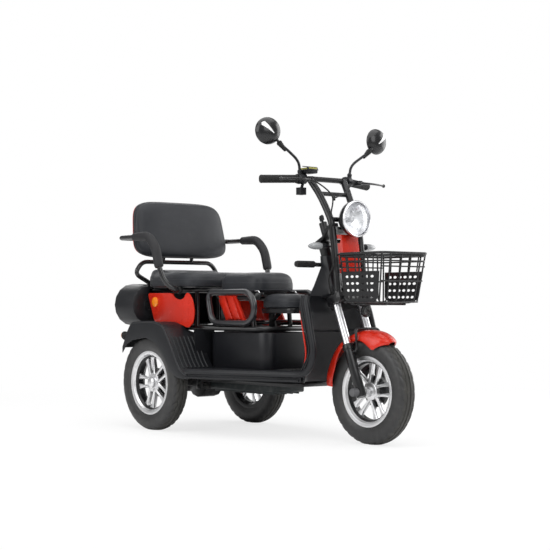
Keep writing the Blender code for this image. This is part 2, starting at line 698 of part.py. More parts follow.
# Handrail: feet on the seat loop, a cross bar, two uprights behind the shell, and one tube round the
# back that drops to a socket on each side
bm = bmesh.new()
up_x = BACK_X - 0.014 - GAP - flat_of(0.009)
feet_z = SEAT_Z + TUBE_R + GAP


def behind(z):
    return up_x - LEAN * (z - BACK_Z)


path = [(-0.215, -0.148, feet_z), (-0.215, -0.148, feet_z + 0.020), (-0.219, -0.236, 0.690),
        (-0.222, -0.195, 0.745), (-0.222, 0.195, 0.745),
        (-0.219, 0.236, 0.690), (-0.215, 0.148, feet_z + 0.020), (-0.215, 0.148, feet_z)]
sweep(bm, bend(path, 0.03), TUBE_R * 0.94, 6)
tool = bmesh.new()
for s in (-1, 1):
    sweep(tool, [(-0.222, s * 0.080, 0.742), (behind(0.775), s * 0.080, 0.775),
                 (behind(0.960), s * 0.080, 0.960)], 0.009, 6)

rail_back = behind(RAIL_TOP_Z) - 0.012
end_y = stub_y + GAP
half = [(0.110, end_y, SEAT_Z), (0.110, 0.252, SEAT_Z), (0.088, 0.290, 0.648), (0.070, HANDRAIL_Y, 0.712),
        (0.044, HANDRAIL_Y, 0.800), (-0.012, HANDRAIL_Y, RAIL_TOP_Z), (rail_back, HANDRAIL_Y, RAIL_TOP_Z)]
path = half + [(x, -y, z) for x, y, z in half[::-1]]
rail = bend(path, 0.030)
sweep(tool, rail, HANDRAIL_R, 6)
bm = combine(bm, tool)
node("handrail", bm, GREY_PAINT, ROOT)

# Armrest pads: foam sleeves on the handrail
bm = bmesh.new()
picked = [p for p in rail[:len(rail) // 2] if p.x > -0.105 and p.z > 0.709]
tail = Vector((-0.116, HANDRAIL_Y, RAIL_TOP_Z))
sweep(bm, picked + [tail], 0.019, 6, bore=clear(HANDRAIL_R, 6))
pair("armrest_pad", bm, RUBBER, ROOT)


# Saddle: a padded seat on a pan that tips forward on a hinge
HINGE_X = 0.512
HINGE_Z = 0.594
SADDLE = joint("saddle_hinge", (HINGE_X, 0, HINGE_Z), ROOT)
PAN_Z = 0.575 + TUBE_R * 0.92 + GAP


def saddle_plan(u, v):
    a, b = rounded(u, v, 4.5)
    half = 0.121 - 0.006 * a
    return 0.373 + a * 0.134, b * half


def saddle_height(u, v):
    rise = 0.012 * max(0.0, -u) ** 2
    return (0.086 + rise * 0.4) * crown(u, v, 0.66,
                                        4.0) - 0.004 * math.exp(-(v / 0.10) ** 2) * (1 - abs(u) ** 4)


bm = bmesh.new()
cushion(bm, lambda a, b, h: (a, b, PAN_Z + 0.014 + GAP + h), saddle_plan, saddle_height, 8, 6)
node("saddle_cushion", bm, LEATHER, SADDLE, 60)

bm = bmesh.new()
slab_z(bm, round_rect(0.262, 0.470, -0.088, 0.088, 0.03), PAN_Z + 0.008, PAN_Z + 0.014)
tool = bmesh.new()
block(tool, (0.300, -0.108, PAN_Z), (0.420, 0.108, PAN_Z + 0.012))
for s in (-1, 1):
    y0 = min(s * 0.085, s * (0.096 - GAP))
    y1 = max(s * 0.085, s * (0.096 - GAP))
    slab_y(tool, [(0.440, PAN_Z + 0.003), (HINGE_X - 0.006, 0.5865), (HINGE_X + 0.004, 0.5885),
                  (HINGE_X + 0.004, 0.5985), (0.440, PAN_Z + 0.013)], y0, y1)
bm = combine(bm, tool)
node("saddle_pan", bm, BLACK_PAINT, SADDLE)

# Child seat: a post on the frame, a base plate and a small cushion
bm = bmesh.new()
slab_z(bm, round_rect(0.462, 0.672, -0.066, 0.066, 0.03), 0.512, 0.5327)
tool = bmesh.new()
rod(tool, (0.470, 0, UPPER_Z + flat_of(TUBE_R * 0.94) + GAP), (0.470, 0, 0.515), 0.016, 10)
rod(tool, (0.520, 0, 0.515), (0.474, 0, 0.480), 0.009, 8)
bm = combine(bm, tool)
node("child_seat_base", bm, BLACK_PAINT, ROOT)


def child_plan(u, v):
    a, b = rounded(u, v, 3.0)
    return 0.571 + a * 0.104, b * (0.077 - 0.006 * a)


bm = bmesh.new()
cushion(bm, lambda a, b, h: (a, b, 0.533 + h), child_plan,
        lambda u, v: 0.061 * crown(u, v, 0.58) - 0.004 * math.exp(-(v / 0.12) ** 2), 6, 6)
node("child_seat_cushion", bm, LEATHER, ROOT, 60)

# Child handle: one bent tube behind the head tube cover, with a thicker grip each side
HANDLE_X = 0.8047 - 0.0085 - GAP
line = [(0.832, -0.100, 0.710), (0.828, -0.075, 0.710), (HANDLE_X, -0.040, 0.710), (HANDLE_X, 0.040, 0.710),
        (0.828, 0.075, 0.710), (0.832, 0.100, 0.710)]
bm = bmesh.new()
sweep(bm, bend(line, 0.012), 0.0085, 6)
tool = bmesh.new()
for s in (-1, 1):
    lathe(tool, [(0, 0), (0.0135, 0), (0.0135, 0.092), (0.0115, 0.096), (0, 0.096)],
          (0.830, s * 0.0850, 0.710), (0.03, s, 0), 9)
bm = combine(bm, tool)
node("child_handle", bm, BLACK_PLASTIC, ROOT)

# Fork crown: a plate with the steering stem, two stanchions, two riser bosses and the horn on its strap
CROWN_LOW = -0.020
CROWN_HIGH = 0.014
RISER_LOW = head(0.070, RISER_Y, 0.002)
RISER_MID = head(0.050, RISER_Y, 0.191)
RISER_DIR = (RISER_MID - RISER_LOW).normalized()
boss_top = RISER_LOW + RISER_DIR * 0.050
plate = [(-0.024, -0.030), (0.022, -0.089), (0.068, -0.092), (0.098, -0.088), (0.100, -0.056),
         (0.080, -0.040)]
plate += [(f, -y) for f, y in plate[::-1]]
bm = bmesh.new()
skin(bm, [ring(bm, [steer(f, y, s) for f, y in plate]) for s in (CROWN_LOW, CROWN_HIGH)])
tool = bmesh.new()
stem = [(0, CROWN_LOW + 0.004), (STEM_R, CROWN_LOW + 0.004), (STEM_R, 0.010), (HEAD_R, 0.012),
        (HEAD_R, HEAD_FROM - GAP), (STEM_R, HEAD_FROM - GAP), (STEM_R, HEAD_TO + 0.006), (0, HEAD_TO + 0.006)]
lathe(tool, stem, steer(0, 0, 0), UP, 16)
for s in (-1, 1):
    start = RISER_LOW + RISER_DIR * 0.0095
    rod(tool, (start.x, s * start.y, start.z), (boss_top.x, s * boss_top.y, boss_top.z), 0.017, 10)
    rod(tool, steer(FORK_OFFSET, s * LEG_Y, -0.330), steer(FORK_OFFSET, s * LEG_Y, CROWN_LOW + 0.012),
        STANCHION_R, 10)
lathe(tool, [(0, 0), (0.016, 0), (0.024, 0.008), (0.024, 0.020), (0.018, 0.024), (0, 0.024)],
      head(0.135, 0, -0.028), (1, 0, 0), 12)
strap_from = steer(0.076, 0, CROWN_LOW + 0.012)
strap_to = head(0.139, 0, -0.012)
run = (strap_to - strap_from).normalized()
nrm = Vector((-run.z, 0, run.x)) * 0.002
skin(tool, [ring(tool, [p + nrm - Y * w, p + nrm + Y * w, p - nrm + Y * w, p - nrm - Y * w])
            for p, w in ((strap_from, 0.010), (strap_to, 0.008))])
bm = combine(bm, tool)
node("fork_crown", bm, BLACK_PAINT, STEERING)

# Handlebar: two risers, a top plate on the stem, cross bars, the lock barrel and the grip bar
BAR_IN = head(-0.095, 0.137, 0.503)
BAR_OUT = head(-0.147, 0.288, 0.498)
BAR_DIR = (BAR_OUT - BAR_IN).normalized()
bar_start = BAR_IN - BAR_DIR * 0.062
top_s = HEAD_TO + 0.006 + GAP
bm = bmesh.new()
plate = [(-0.024, -0.022), (0.030, -0.030), (0.128, -0.086), (0.160, -0.086), (0.162, -0.056),
         (0.130, -0.032)]
plate += [(f, -y) for f, y in plate[::-1]]
skin(bm, [ring(bm, [steer(f, y, s) for f, y in plate]) for s in (top_s, top_s + 0.013)])
tool = bmesh.new()
riser_start = boss_top + RISER_DIR * GAP
for s in (-1, 1):
    line = [riser_start, RISER_MID, head(0.032, RISER_Y, 0.318), head(0.009, 0.071, 0.363),
            head(-0.033, 0.080, 0.441),
            head(-0.079, 0.093, 0.5045)]
    line = bend([(p.x, s * p.y, p.z) for p in line], 0.02, 1)
    sweep(tool, line, RISER_R, 6)
    rod(tool, (bar_start.x, s * bar_start.y, bar_start.z), (BAR_OUT.x, s * BAR_OUT.y, BAR_OUT.z), BAR_R, 6)
rod(tool, head(-0.043, -0.078, 0.444), head(-0.043, 0.078, 0.444), 0.009, 6)
rod(tool, head(0.0125, -0.071, 0.338), head(0.0125, 0.071, 0.338), 0.010, 6)
PANEL_X = 0.049
PANEL_Z = 0.217
PANEL_SLOPE = 0.12
for dz in (0.150, 0.250):
    dx = PANEL_X - PANEL_SLOPE * (dz - PANEL_Z) - SHEET - GAP - 0.0081
    rod(tool, head(dx, -0.071, dz), head(dx, 0.071, dz), 0.008, 6)
KEY_AHEAD = 0.026
LOCK_TOP = 0.345
rod(tool, steer(KEY_AHEAD, 0, top_s + 0.010), steer(KEY_AHEAD, 0, LOCK_TOP), 0.017, 10)
bm = combine(bm, tool)
node("handlebar", bm, BLACK_PAINT, STEERING)


def on_bar(t, s):
    p = BAR_IN + BAR_DIR * t
    return Vector((p.x, s * p.y, p.z))


def bar_dir(s):
    return Vector((BAR_DIR.x, s * BAR_DIR.y, BAR_DIR.z))


# Grips: the right one twists
GRIP_FROM = 0.006
GRIP_TO = (BAR_OUT - BAR_IN).length + 0.005
for name, s in (("left_grip", 1), ("throttle_grip", -1)):
    owner = STEERING if s > 0 else joint("throttle", on_bar(GRIP_FROM, s), STEERING)
    bm = bmesh.new()
    long = GRIP_TO - GRIP_FROM
    bore = clear(BAR_R, 10)
    lathe(bm, [(0, long - 0.005 + GAP), (bore, long - 0.005 + GAP), (bore, 0), (GRIP_R + 0.002, 0),
               (GRIP_R + 0.002, 0.005), (GRIP_R, 0.007), (GRIP_R, long - 0.003), (GRIP_R - 0.003, long),
               (0, long)],
          on_bar(GRIP_FROM, s), bar_dir(s), 10)
    node(name, bm, RUBBER, owner)

# Controls: a clamp housing on each side with the lever perch and the mirror stem
CLAMP_R = 0.0205
MIRROR = head(-0.086, 0.298, MIRROR_UP)
MIRROR_R = 0.0540
neck_dir = Vector((0, 0.757, 0.653)).normalized()
neck = MIRROR - neck_dir * 0.0585
PIVOT = head(-0.033, 0.140, 0.496)
BOSS = head(-0.089, 0.136, 0.5285)
BUTTON_T = -0.021
for name, s in (("controls_right", -1), ("controls_left", 1)):
    bm = bmesh.new()
    bore = clear(BAR_R, 8)
    lathe(bm, [(bore, 0), (CLAMP_R, 0), (CLAMP_R, 0.034), (bore, 0.034)], on_bar(-0.030, s), bar_dir(s), 8,
          closed=True)
    tool = bmesh.new()
    arm = on_bar(-0.006, s) + Vector((0.0165, 0, 0))
    tip = Vector((PIVOT.x - 0.013, s * PIVOT.y, PIVOT.z))
    rod(tool, arm, tip, 0.0085, 6)
    block(tool, (tip.x - 0.006, tip.y - 0.010, PIVOT.z - 0.0095),
          (tip.x + 0.002, tip.y + 0.010, PIVOT.z + 0.0095))
    for z0 in (PIVOT.z - 0.0095, PIVOT.z + 0.0065):
        block(tool, (tip.x, tip.y - 0.0085, z0), (PIVOT.x + 0.009, tip.y + 0.0085, z0 + 0.003))
    rod(tool, (PIVOT.x, tip.y, PIVOT.z - 0.009), (PIVOT.x, tip.y, PIVOT.z + 0.009), 0.003, 6)
    rod(tool, (BOSS.x, s * BOSS.y, BOSS.z - 0.014), (BOSS.x, s * BOSS.y, BOSS.z + 0.010), 0.0085, 6)
    stalk = [BOSS, BOSS + Vector((0.002, 0.006, 0.045)), BOSS + Vector((0.006, 0.075, 0.088)),
             neck - neck_dir * 0.020, neck - neck_dir * GAP]
    sweep(tool, [(p.x, s * p.y, p.z) for p in bend(stalk, 0.03)], 0.0052, 6)
    across = Vector((-bar_dir(s).y * s, s * bar_dir(s).x * s, 0)).normalized()
    if s > 0:
        rear = Vector((-BAR_DIR.y, BAR_DIR.x, 0)).normalized()
        up_rear = (rear + Vector((0, 0, 0.9))).normalized()
        seat = on_bar(BUTTON_T, s)
        rod(tool, seat + rear * 0.0125, seat + rear * 0.028, 0.0095, 8)
        knob_at = on_bar(-0.010, s)
        rod(tool, knob_at + up_rear * 0.013, knob_at + up_rear * 0.0225, 0.009, 8)
    else:
        side_point = on_bar(-0.020, s)
        rod(tool, side_point + Vector((0, 0, -0.013)), side_point + Vector((0, -0.010, -0.040)), 0.006, 8)
        block(tool, side_point + Vector((-0.014, -0.026, -0.065)),
              side_point + Vector((0.014, 0.004, -0.036)))
    bm = combine(bm, tool)
    if s > 0:
        pocket = bmesh.new()
        rod(pocket, seat + rear * 0.0205, seat + rear * 0.030, 0.0063, 8)
        bm = combine(bm, pocket, "DIFFERENCE")
    node(name, bm, BLACK_PLASTIC, STEERING)

# Horn button and turn switch
HORN_AT = seat + rear * 0.0235
BUTTON = joint("horn_button_slide", HORN_AT, STEERING)
bm = bmesh.new()
rod(bm, HORN_AT, HORN_AT + rear * 0.0085, 0.0058, 8)
node("horn_button", bm, RED, BUTTON)
TURN_AT = knob_at + up_rear * (0.0225 + GAP)
TURN = joint("turn_switch_slide", TURN_AT, STEERING)
bm = bmesh.new()
rod(bm, TURN_AT, TURN_AT + up_rear * 0.007, 0.0045, 8)
node("turn_switch", bm, BLACK_PLASTIC, TURN)

# Brake levers on their perches
for name, s in (("brake_lever_right", -1), ("brake_lever_left", 1)):
    pin = Vector((PIVOT.x, s * PIVOT.y, PIVOT.z))
    owner = joint(name + "_pivot", pin, STEERING)
    bm = bmesh.new()
    lathe(bm, [(0.0033, -0.0062), (0.0080, -0.0062), (0.0080, 0.0062), (0.0033, 0.0062)], pin, (0, 0, 1), 8,
          closed=True)
    tool = bmesh.new()
    line = [(0.001, 0.0055, 0), (0.009, 0.030, 0), (0.008, 0.085, -0.001), (-0.002, 0.140, -0.004)]
    line = [pin + Vector((x, s * y, z)) for x, y, z in line]
    sweep(tool, bend(line, 0.02), 0.0052, 6)
    lathe(tool, [(0, -0.007), (0.0078, 0), (0, 0.007)], line[-1], (0, s, 0), 6)
    bm = combine(bm, tool)
    node(name, bm, ALLOY, owner)

# Dash display with a visor, on the right clamp
dash_low = on_bar(-0.030, -1).z + CLAMP_R + GAP
bm = bevelled(head(-0.106, -0.126, dash_low - HEAD.z), head(-0.048, -0.074, dash_low - HEAD.z + 0.016), 0.003)
tool = bmesh.new()
visor = [(-0.052, 0.012), (-0.046, 0.012), (-0.054, 0.026), (-0.084, 0.030), (-0.084, 0.027), (-0.058, 0.023)]
slab_y(tool, [(HEAD.x + x, dash_low + z) for x, z in visor], -0.127, -0.073)
bm = combine(bm, tool)
node("dash_display", bm, BLACK_PLASTIC, STEERING)

# Mirror heads that turn on their necks
for name, s in (("mirror_head_right", -1), ("mirror_head_left", 1)):
    at = Vector((neck.x, s * neck.y, neck.z))
    owner = joint(name + "_turn", at, STEERING)
    mid = Vector((MIRROR.x, s * MIRROR.y, MIRROR.z))
    bm = bmesh.new()
    lathe(bm, [(0, 0), (0.030, 0.005), (0.046, 0.015), (MIRROR_R, 0.028), (MIRROR_R, 0.036), (0, 0.0345)],
          mid + Vector((0.020, 0, 0)), (-1, 0, 0), 14)
    tool = bmesh.new()
    rod(tool, at, at + (mid - at).normalized() * 0.010, 0.0060, 8)
    bm = combine(bm, tool)
    node(name, bm, BLACK_PLASTIC, owner)

# Headlamp: a hollow bucket with a rim, and a domed lens
LAMP_Z = 0.338
lamp_back = head(0.0225 + GAP, 0, LAMP_Z)
bm = bmesh.new()
lathe(bm, [(0, 0), (0.032, 0.004), (0.056, 0.028), (0.0725, 0.058), (0.0725, 0.080), (0.0655, 0.080),
           (0.0655, 0.060), (0.050, 0.030), (0, 0.008)], lamp_back, (1, 0, 0), 14)
node("headlamp_bucket", bm, BLACK_PLASTIC, STEERING)
bm = bmesh.new()
lathe(bm, [(0, 0.092), (0.036, 0.087), (0.0655 - GAP, 0.074), (0.0655 - GAP, 0.068), (0.034, 0.083),
           (0, 0.087)],
      lamp_back, (1, 0, 0), 14)
node("headlamp_lens", bm, CLEAR, STEERING)

# Front cover: a creased panel over the cross bars
bm = bmesh.new()
rows = []
for dz in (0.122, 0.190, 0.276):
    x = PANEL_X - PANEL_SLOPE * (dz - PANEL_Z)
    w = 0.066 if dz < 0.25 else 0.060
    loop = [(x - 0.024, -w), (x, -0.0355), (x, 0.0355), (x - 0.024, w), (x - 0.028, w - 0.003),
            (x - SHEET, 0.0335), (x - SHEET, -0.0335), (x - 0.028, -w + 0.003)]
    rows.append(ring(bm, [head(a, b, dz) for a, b in loop]))
skin(bm, rows)
for dz in (0.150, 0.250):
    dx = PANEL_X - PANEL_SLOPE * (dz - PANEL_Z) - SHEET
    notch = bmesh.new()
    block(notch, head(dx - 0.050, -0.08, dz - 0.0090), head(dx - GAP * 0.4, 0.08, dz + 0.0090))
    bm = combine(bm, notch, "DIFFERENCE")
node("column_cover_front", bm, RED, STEERING, 20)

# Front turn signals on one bar behind the panel
bm = bmesh.new()
lamp_x = PANEL_X - PANEL_SLOPE * (0.230 - PANEL_Z) - 0.028 - GAP * 2 - 0.0055
rod(bm, head(lamp_x, -0.116, 0.230), head(lamp_x, 0.116, 0.230), 0.0055, 8)
tool = bmesh.new()
for s in (-1, 1):
    lathe(tool, [(0, 0), (0.010, 0.001), (0.021, 0.014), (0.022, 0.034), (0.015, 0.054), (0, 0.066)],
          head(lamp_x, s * 0.113, 0.230), Y * s, 8)
bm = combine(bm, tool)
node("front_turn_signals", bm, CLEAR, STEERING)

# Ignition key
KEY = joint("key_turn", steer(KEY_AHEAD, 0, LOCK_TOP), STEERING)
bm = bmesh.new()
rows = []
for s_at, half_w in ((0.0, 0.005), (0.009, 0.005), (0.010, 0.012), (0.026, 0.013), (0.034, 0.008)):
    z = LOCK_TOP + GAP + s_at
    corners = [(-half_w, -0.002), (half_w, -0.002), (half_w, 0.002), (-half_w, 0.002)]
    rows.append(ring(bm, [steer(KEY_AHEAD + f, y, z) for f, y in corners]))
skin(bm, rows)
node("ignition_key", bm, BLACK_PLASTIC, KEY)


# Basket: rim and loops, upright wires, a wire floor, two pierced side plates and its arms
def basket(t):
    """Back x, front x, half width and height at a depth of 0 (rim) to 1 (floor)."""
    x0 = BASKET_X + 0.014 * t
    x1 = BASKET_X + BASKET_L - 0.032 * t
    return x0, x1, BASKET_W - 0.016 * t, BASKET_TOP - (BASKET_TOP - BASKET_LOW) * t


def loop_wire(bm, t, radius, sides=4):
    x0, x1, w, z = basket(t)
    line = [(x0, -w, z), (x1, -w, z), (x1, w, z), (x0, w, z)]
    sweep(bm, bend(line, 0.024, closed=True), radius, sides, closed=True, flat=(0, 0, 1))


bm = bmesh.new()
loop_wire(bm, 0.0, 0.0042)
tool = bmesh.new()
loop_wire(tool, 1.0, 0.0030)
IN = WIRE_R * 0.7
top_x0, top_x1, top_w, top_z = basket(0.0)
low_x0, low_x1, low_w, low_zb = basket(1.0)
hook_z = BASKET_TOP - HEAD.z
for k in range(4):
    f = (k - 1.5) / 1.5 * 0.66
    rod(tool, (top_x1 - IN, top_w * f, top_z), (low_x1 - IN, low_w * f, low_zb), WIRE_R, 4)
rod(tool, (top_x0 + IN, 0, top_z), (low_x0 + IN, 0, low_zb), WIRE_R, 4)
for s in (-1, 1):
    for x_top, x_low in ((top_x0 + 0.0065, low_x0 + 0.0065), (top_x1 - 0.0065, low_x1 - 0.0065)):
        rod(tool, (x_top, s * (top_w - 0.0065), top_z), (x_low, s * (low_w - 0.0065), low_zb), WIRE_R, 4)
    for k in range(2):
        g = (k + 1) / 3
        p = basket(0.315)
        rod(tool, (top_x0 + g * (top_x1 - top_x0), s * top_w, top_z),
            (p[0] + g * (p[1] - p[0]), s * p[2], p[3]), WIRE_R, 4)
for t in (0.55,):
    x0, x1, w, z = basket(t)
    rod(tool, (x1 - 0.0005, -w * 0.94, z), (x1 - 0.0005, w * 0.94, z), WIRE_R, 4)
rod(tool, (low_x0 - 0.001, 0, low_zb - 0.001), (low_x1 + 0.001, 0, low_zb - 0.001), WIRE_R, 4)
for x in ((low_x0 + low_x1) / 2,):
    rod(tool, (x, -low_w - 0.001, low_zb + 0.001), (x, low_w + 0.001, low_zb + 0.001), WIRE_R, 4)
for s in (-1, 1):
    arm = [steer(0.0994 + GAP, s * 0.072, -0.006), steer(0.118, s * 0.072, -0.006),
           (1.034, s * 0.070, 0.5506),
           (low_x1 - 0.02, s * 0.050, 0.5496)]
    sweep(tool, bend(arm, 0.014), 0.0048, 6)
    x_r = HEAD.x + 0.070 - 0.1058 * (hook_z - 0.002) + RISER_R + 0.0005
    rod(tool, (x_r, s * 0.0722, HEAD.z + hook_z), (BASKET_X + 0.001, s * 0.0722, HEAD.z + hook_z), 0.0040, 6)
bm = combine(bm, tool)


def pierced(bm, s, rows, cols, t0, t1, margin, thick):
    """A flat plate with rows of slots, following the basket's side."""
    def spot(u, t, side_y):
        x0, x1, w, z = basket(t)
        return (x0 + margin + (x1 - x0 - 2 * margin) * u, s * (w + side_y), z)

    grids = []
    for side_y in (-thick, thick):
        grid = {}
        for i in range(cols + 1):
            for j in range(rows + 1):
                grid[i, j] = bm.verts.new(spot(i / cols, t0 + (t1 - t0) * j / rows, side_y))
        holes = {}
        for i in range(cols):
            for j in range(rows):
                hole = []
                for du, dt in ((-0.34, -0.27), (0.34, -0.27), (0.34, 0.27), (-0.34, 0.27)):
                    u = (i + 0.5 + du) / cols
                    t = t0 + (t1 - t0) * (j + 0.5 + dt) / rows
                    hole.append(bm.verts.new(spot(u, t, side_y)))
                holes[i, j] = hole
                a, b, c, d = grid[i, j], grid[i + 1, j], grid[i + 1, j + 1], grid[i, j + 1]
                bm.faces.new((a, b, hole[1], hole[0]))
                bm.faces.new((b, c, hole[2], hole[1]))
                bm.faces.new((c, d, hole[3], hole[2]))
                bm.faces.new((d, a, hole[0], hole[3]))
        grids.append((grid, holes))
    (g0, h0), (g1, h1) = grids
    for key in h0:
        for k in range(4):
            j = (k + 1) % 4
            bm.faces.new((h0[key][k], h0[key][j], h1[key][j], h1[key][k]))
    rim = [(i, 0) for i in range(cols)] + [(cols, j) for j in range(rows)]
    rim += [(i, rows) for i in range(cols, 0, -1)] + [(0, j) for j in range(rows, 0, -1)]
    for k, key in enumerate(rim):
        nxt = rim[(k + 1) % len(rim)]
        bm.faces.new((g0[key], g0[nxt], g1[nxt], g1[key]))


tool = bmesh.new()
for s in (-1, 1):
    pierced(tool, s, 4, 3, 0.300, 0.992, 0.012, 0.0006)
bm = combine(bm, tool)
node("basket", bm, BLACK_PAINT, STEERING)

# Control cables: a housing from each lever, joined at a clip and held along the right riser to the crown
def cable_start(s, reach):
    y0 = PIVOT.y - 0.010 - GAP
    return [Vector((PIVOT.x - 0.0145, s * y0, PIVOT.z)),
            Vector((PIVOT.x - 0.0145, s * (y0 - 0.008), PIVOT.z)),
            Vector((PIVOT.x - 0.002, s * (y0 - 0.035), PIVOT.z - 0.006)),
            Vector((PIVOT.x + reach, s * 0.055 - 0.020, PIVOT.z - 0.045))]


main = cable_start(-1, 0.050) + [head(0.030, -0.060, 0.420), head(0.046, -0.094, 0.350),
                                 head(0.052, -0.0925, 0.240),
                                 head(0.062, -0.0915, 0.150), head(0.038, -0.098, 0.108),
                                 head(0.024, -0.080, 0.072),
                                 steer(0.030, -0.062, CROWN_HIGH + GAP + 0.012),
                                 steer(0.030, -0.062, CROWN_HIGH + GAP)]
main = bend(main, 0.035)
meet = min(range(len(main)), key=lambda k: (main[k] - head(0.030, -0.060, 0.420)).length)
clip_run = (main[meet + 1] - main[meet - 1]).normalized() * 0.007
bm = bmesh.new()
sweep(bm, main, 0.0030, 4)
tool = bmesh.new()
sweep(tool, bend(cable_start(1, 0.036) + [main[meet]], 0.035), 0.0027, 4)
rod(tool, main[meet] - clip_run, main[meet] + clip_run, 0.0062, 8)
bm = combine(bm, tool)
node("control_cables", bm, RUBBER, STEERING)

# Fork lowers: blind legs and the fender stay
LEG_TOP = -0.188
bm = bmesh.new()
FENDER_R = 0.2405
STAY_R = 0.006
stay_a = math.radians(58 + 118 * 4 / 12)
stay_d = FENDER_R + flat_of(STAY_R) + GAP * 2
stay = FRONT_AXLE + Vector((math.cos(stay_a) * stay_d, 0, math.sin(stay_a) * stay_d))
hoop = [steer(FORK_OFFSET + 0.0182, LEG_Y, -0.226), steer(FORK_OFFSET + 0.044, LEG_Y + 0.001, -0.226),
        (stay.x + 0.010, 0.0665, stay.z - 0.022), (stay.x, 0.0600, stay.z), (stay.x, 0, stay.z)]
hoop = hoop[:-1] + [(Vector(p).x, -Vector(p).y, Vector(p).z) for p in hoop[:-1][::-1]]
sweep(bm, bend(hoop, 0.014, 1), STAY_R, 6)
tool = bmesh.new()
for s in (-1, 1):
    leg = [(0, AXLE_S - 0.020), (LEG_R, AXLE_S - 0.020), (LEG_R, LEG_TOP - 0.007),
           (LEG_R + 0.0025, LEG_TOP - 0.007),
           (LEG_R + 0.0025, LEG_TOP), (STANCHION_R + GAP, LEG_TOP), (STANCHION_R + GAP, -0.368), (0, -0.368)]
    lathe(tool, leg, steer(FORK_OFFSET, s * LEG_Y, 0), UP, 10)
bm = combine(bm, tool)
node("fork_lowers", bm, BLACK_PAINT, FORK)

# Front fender: a thin arched shell about the axle, narrow where the legs pass
bm = bmesh.new()
rows = []
for k in range(13):
    deg = 58 + (176 - 58) * k / 12
    a = math.radians(deg)
    near = max(0.0, 1 - abs(deg - 111.5) / 16)
    wide = 0.057 - 0.0095 * min(1.0, near * 2)
    tip = 0.010 * max(0.0, (66 - deg) / 8)
    outer = [(FENDER_R - tip, 0.0), (FENDER_R - 0.009 - tip, 0.78 * wide), (FENDER_R - 0.034 - tip, wide)]
    inner = [(r - 0.003, y - (0.002 if y > 0 else 0.0)) for r, y in outer[:2]] + [(outer[2][0], wide - 0.003)]
    line = [(r, -y) for r, y in outer[:0:-1]] + outer + inner[::-1] + [(r, -y) for r, y in inner[1:]]
    rows.append(ring(bm, [FRONT_AXLE + Vector((r * math.cos(a), y, r * math.sin(a))) for r, y in line]))
skin(bm, rows)
node("front_fender", bm, RED, FORK, 30)

# Front axle with its brake plate and nuts
bm = bmesh.new()
end = LEG_Y - flat_of(LEG_R, 10) - GAP
lathe(bm, [(0, -end), (AXLE_R, -end), (AXLE_R, -0.041), (0.012, -0.041), (0.012, -0.0303), (AXLE_R, -0.0303),
           (AXLE_R, 0.0303), (0.058, 0.0303), (0.058, 0.0340), (0.013, 0.0345), (0.013, 0.042),
           (AXLE_R, 0.042),
           (AXLE_R, end), (0, end)], FRONT_AXLE, Y, 10)
node("front_axle", bm, ALLOY, FORK)


def wheel(rim_name, tyre_name, centre, outward, hub, spoke_at, owner):
    """An alloy rim with pairs of spokes, and its hollow tyre."""
    wall = 0.004
    seat_w = RIM_W / 2 - 0.0035
    barrel = [(RIM_R, RIM_W / 2), (BEAD_R, seat_w), (BEAD_R - 0.013, 0.010)]
    barrel += [(r, -a) for r, a in barrel[::-1]]
    inner = [(BEAD_R - 0.005, -RIM_W / 2), (BEAD_R - 0.013 - wall, -0.011)]
    barrel += inner + [(r, -a) for r, a in inner[::-1]]
    one = bmesh.new()
    lathe(one, barrel, centre, outward, WHEEL_SEGS, closed=True)
    two = bmesh.new()
    lathe(two, hub, centre, outward, 10, closed=hub[0][0] > 0)
    d, u, v = axes(outward)
    for k in range(SPOKE_PAIRS):
        for part in (-1, 1):
            a = math.radians(90 + 360 * k / SPOKE_PAIRS + 9.5 * part)
            run = u * math.cos(a) + v * math.sin(a)
            across = -u * math.sin(a) + v * math.cos(a)
            rows = []
            for r, half_w, half_t in ((0.0305, 0.0044, 0.0105), (BEAD_R - 0.0152, 0.0075, 0.0083)):
                c = Vector(centre) + run * r + d * spoke_at
                rows.append(ring(two, [c + across * half_w + d * half_t, c - across * half_w + d * half_t,
                                       c - across * half_w - d * half_t, c + across * half_w - d * half_t]))
            skin(two, rows)
    node(rim_name, combine(one, two), ALLOY, owner, 30)
    bm = bmesh.new()
    g = GAP
    half = TYRE_W / 2
    outer = [(BEAD_R + g, 0.0190), (BEAD_R + g, seat_w - g * 1.5), (TYRE_R * 0.82, half),
             (TYRE_R * 0.945, half * 0.86)]
    profile = outer + [(TYRE_R, half * 0.20)]
    profile += [(r, -a) for r, a in profile[::-1]]
    hollow = [(TYRE_R * 0.90, -half * 0.70)]
    profile += hollow + [(r, -a) for r, a in hollow[::-1]]
    lathe(bm, profile, centre, outward, WHEEL_SEGS, closed=True)
    node(tyre_name, bm, RUBBER, owner, 25)


front_hub = [(clear(AXLE_R, 10), -0.030), (0.020, -0.030), (0.020, -0.016), (0.034, -0.013), (0.034, 0.009),
             (0.062, 0.013),
             (0.062, 0.030), (clear(AXLE_R, 10), 0.030)]
wheel("front_rim", "front_tyre", FRONT_AXLE, Y, front_hub, 0.0, FRONT_WHEEL)
SHAFT_R = 0.010
rear_hub = [(0, 0.029), (0.020, 0.024), (0.037, 0.011), (0.037, -0.011), (0.062, -0.014),
            (0.062, -0.040), (clear(SHAFT_R, 10), -0.040), (clear(SHAFT_R, 10), 0.012), (0, 0.012)]
wheel("rear_rim_right", "rear_tyre_right", (0, -REAR_WHEEL_Y, TYRE_R), -Y, rear_hub, 0.001, WHEEL_RIGHT)
wheel("rear_rim_left", "rear_tyre_left", (0, REAR_WHEEL_Y, TYRE_R), Y, rear_hub, 0.001, WHEEL_LEFT)

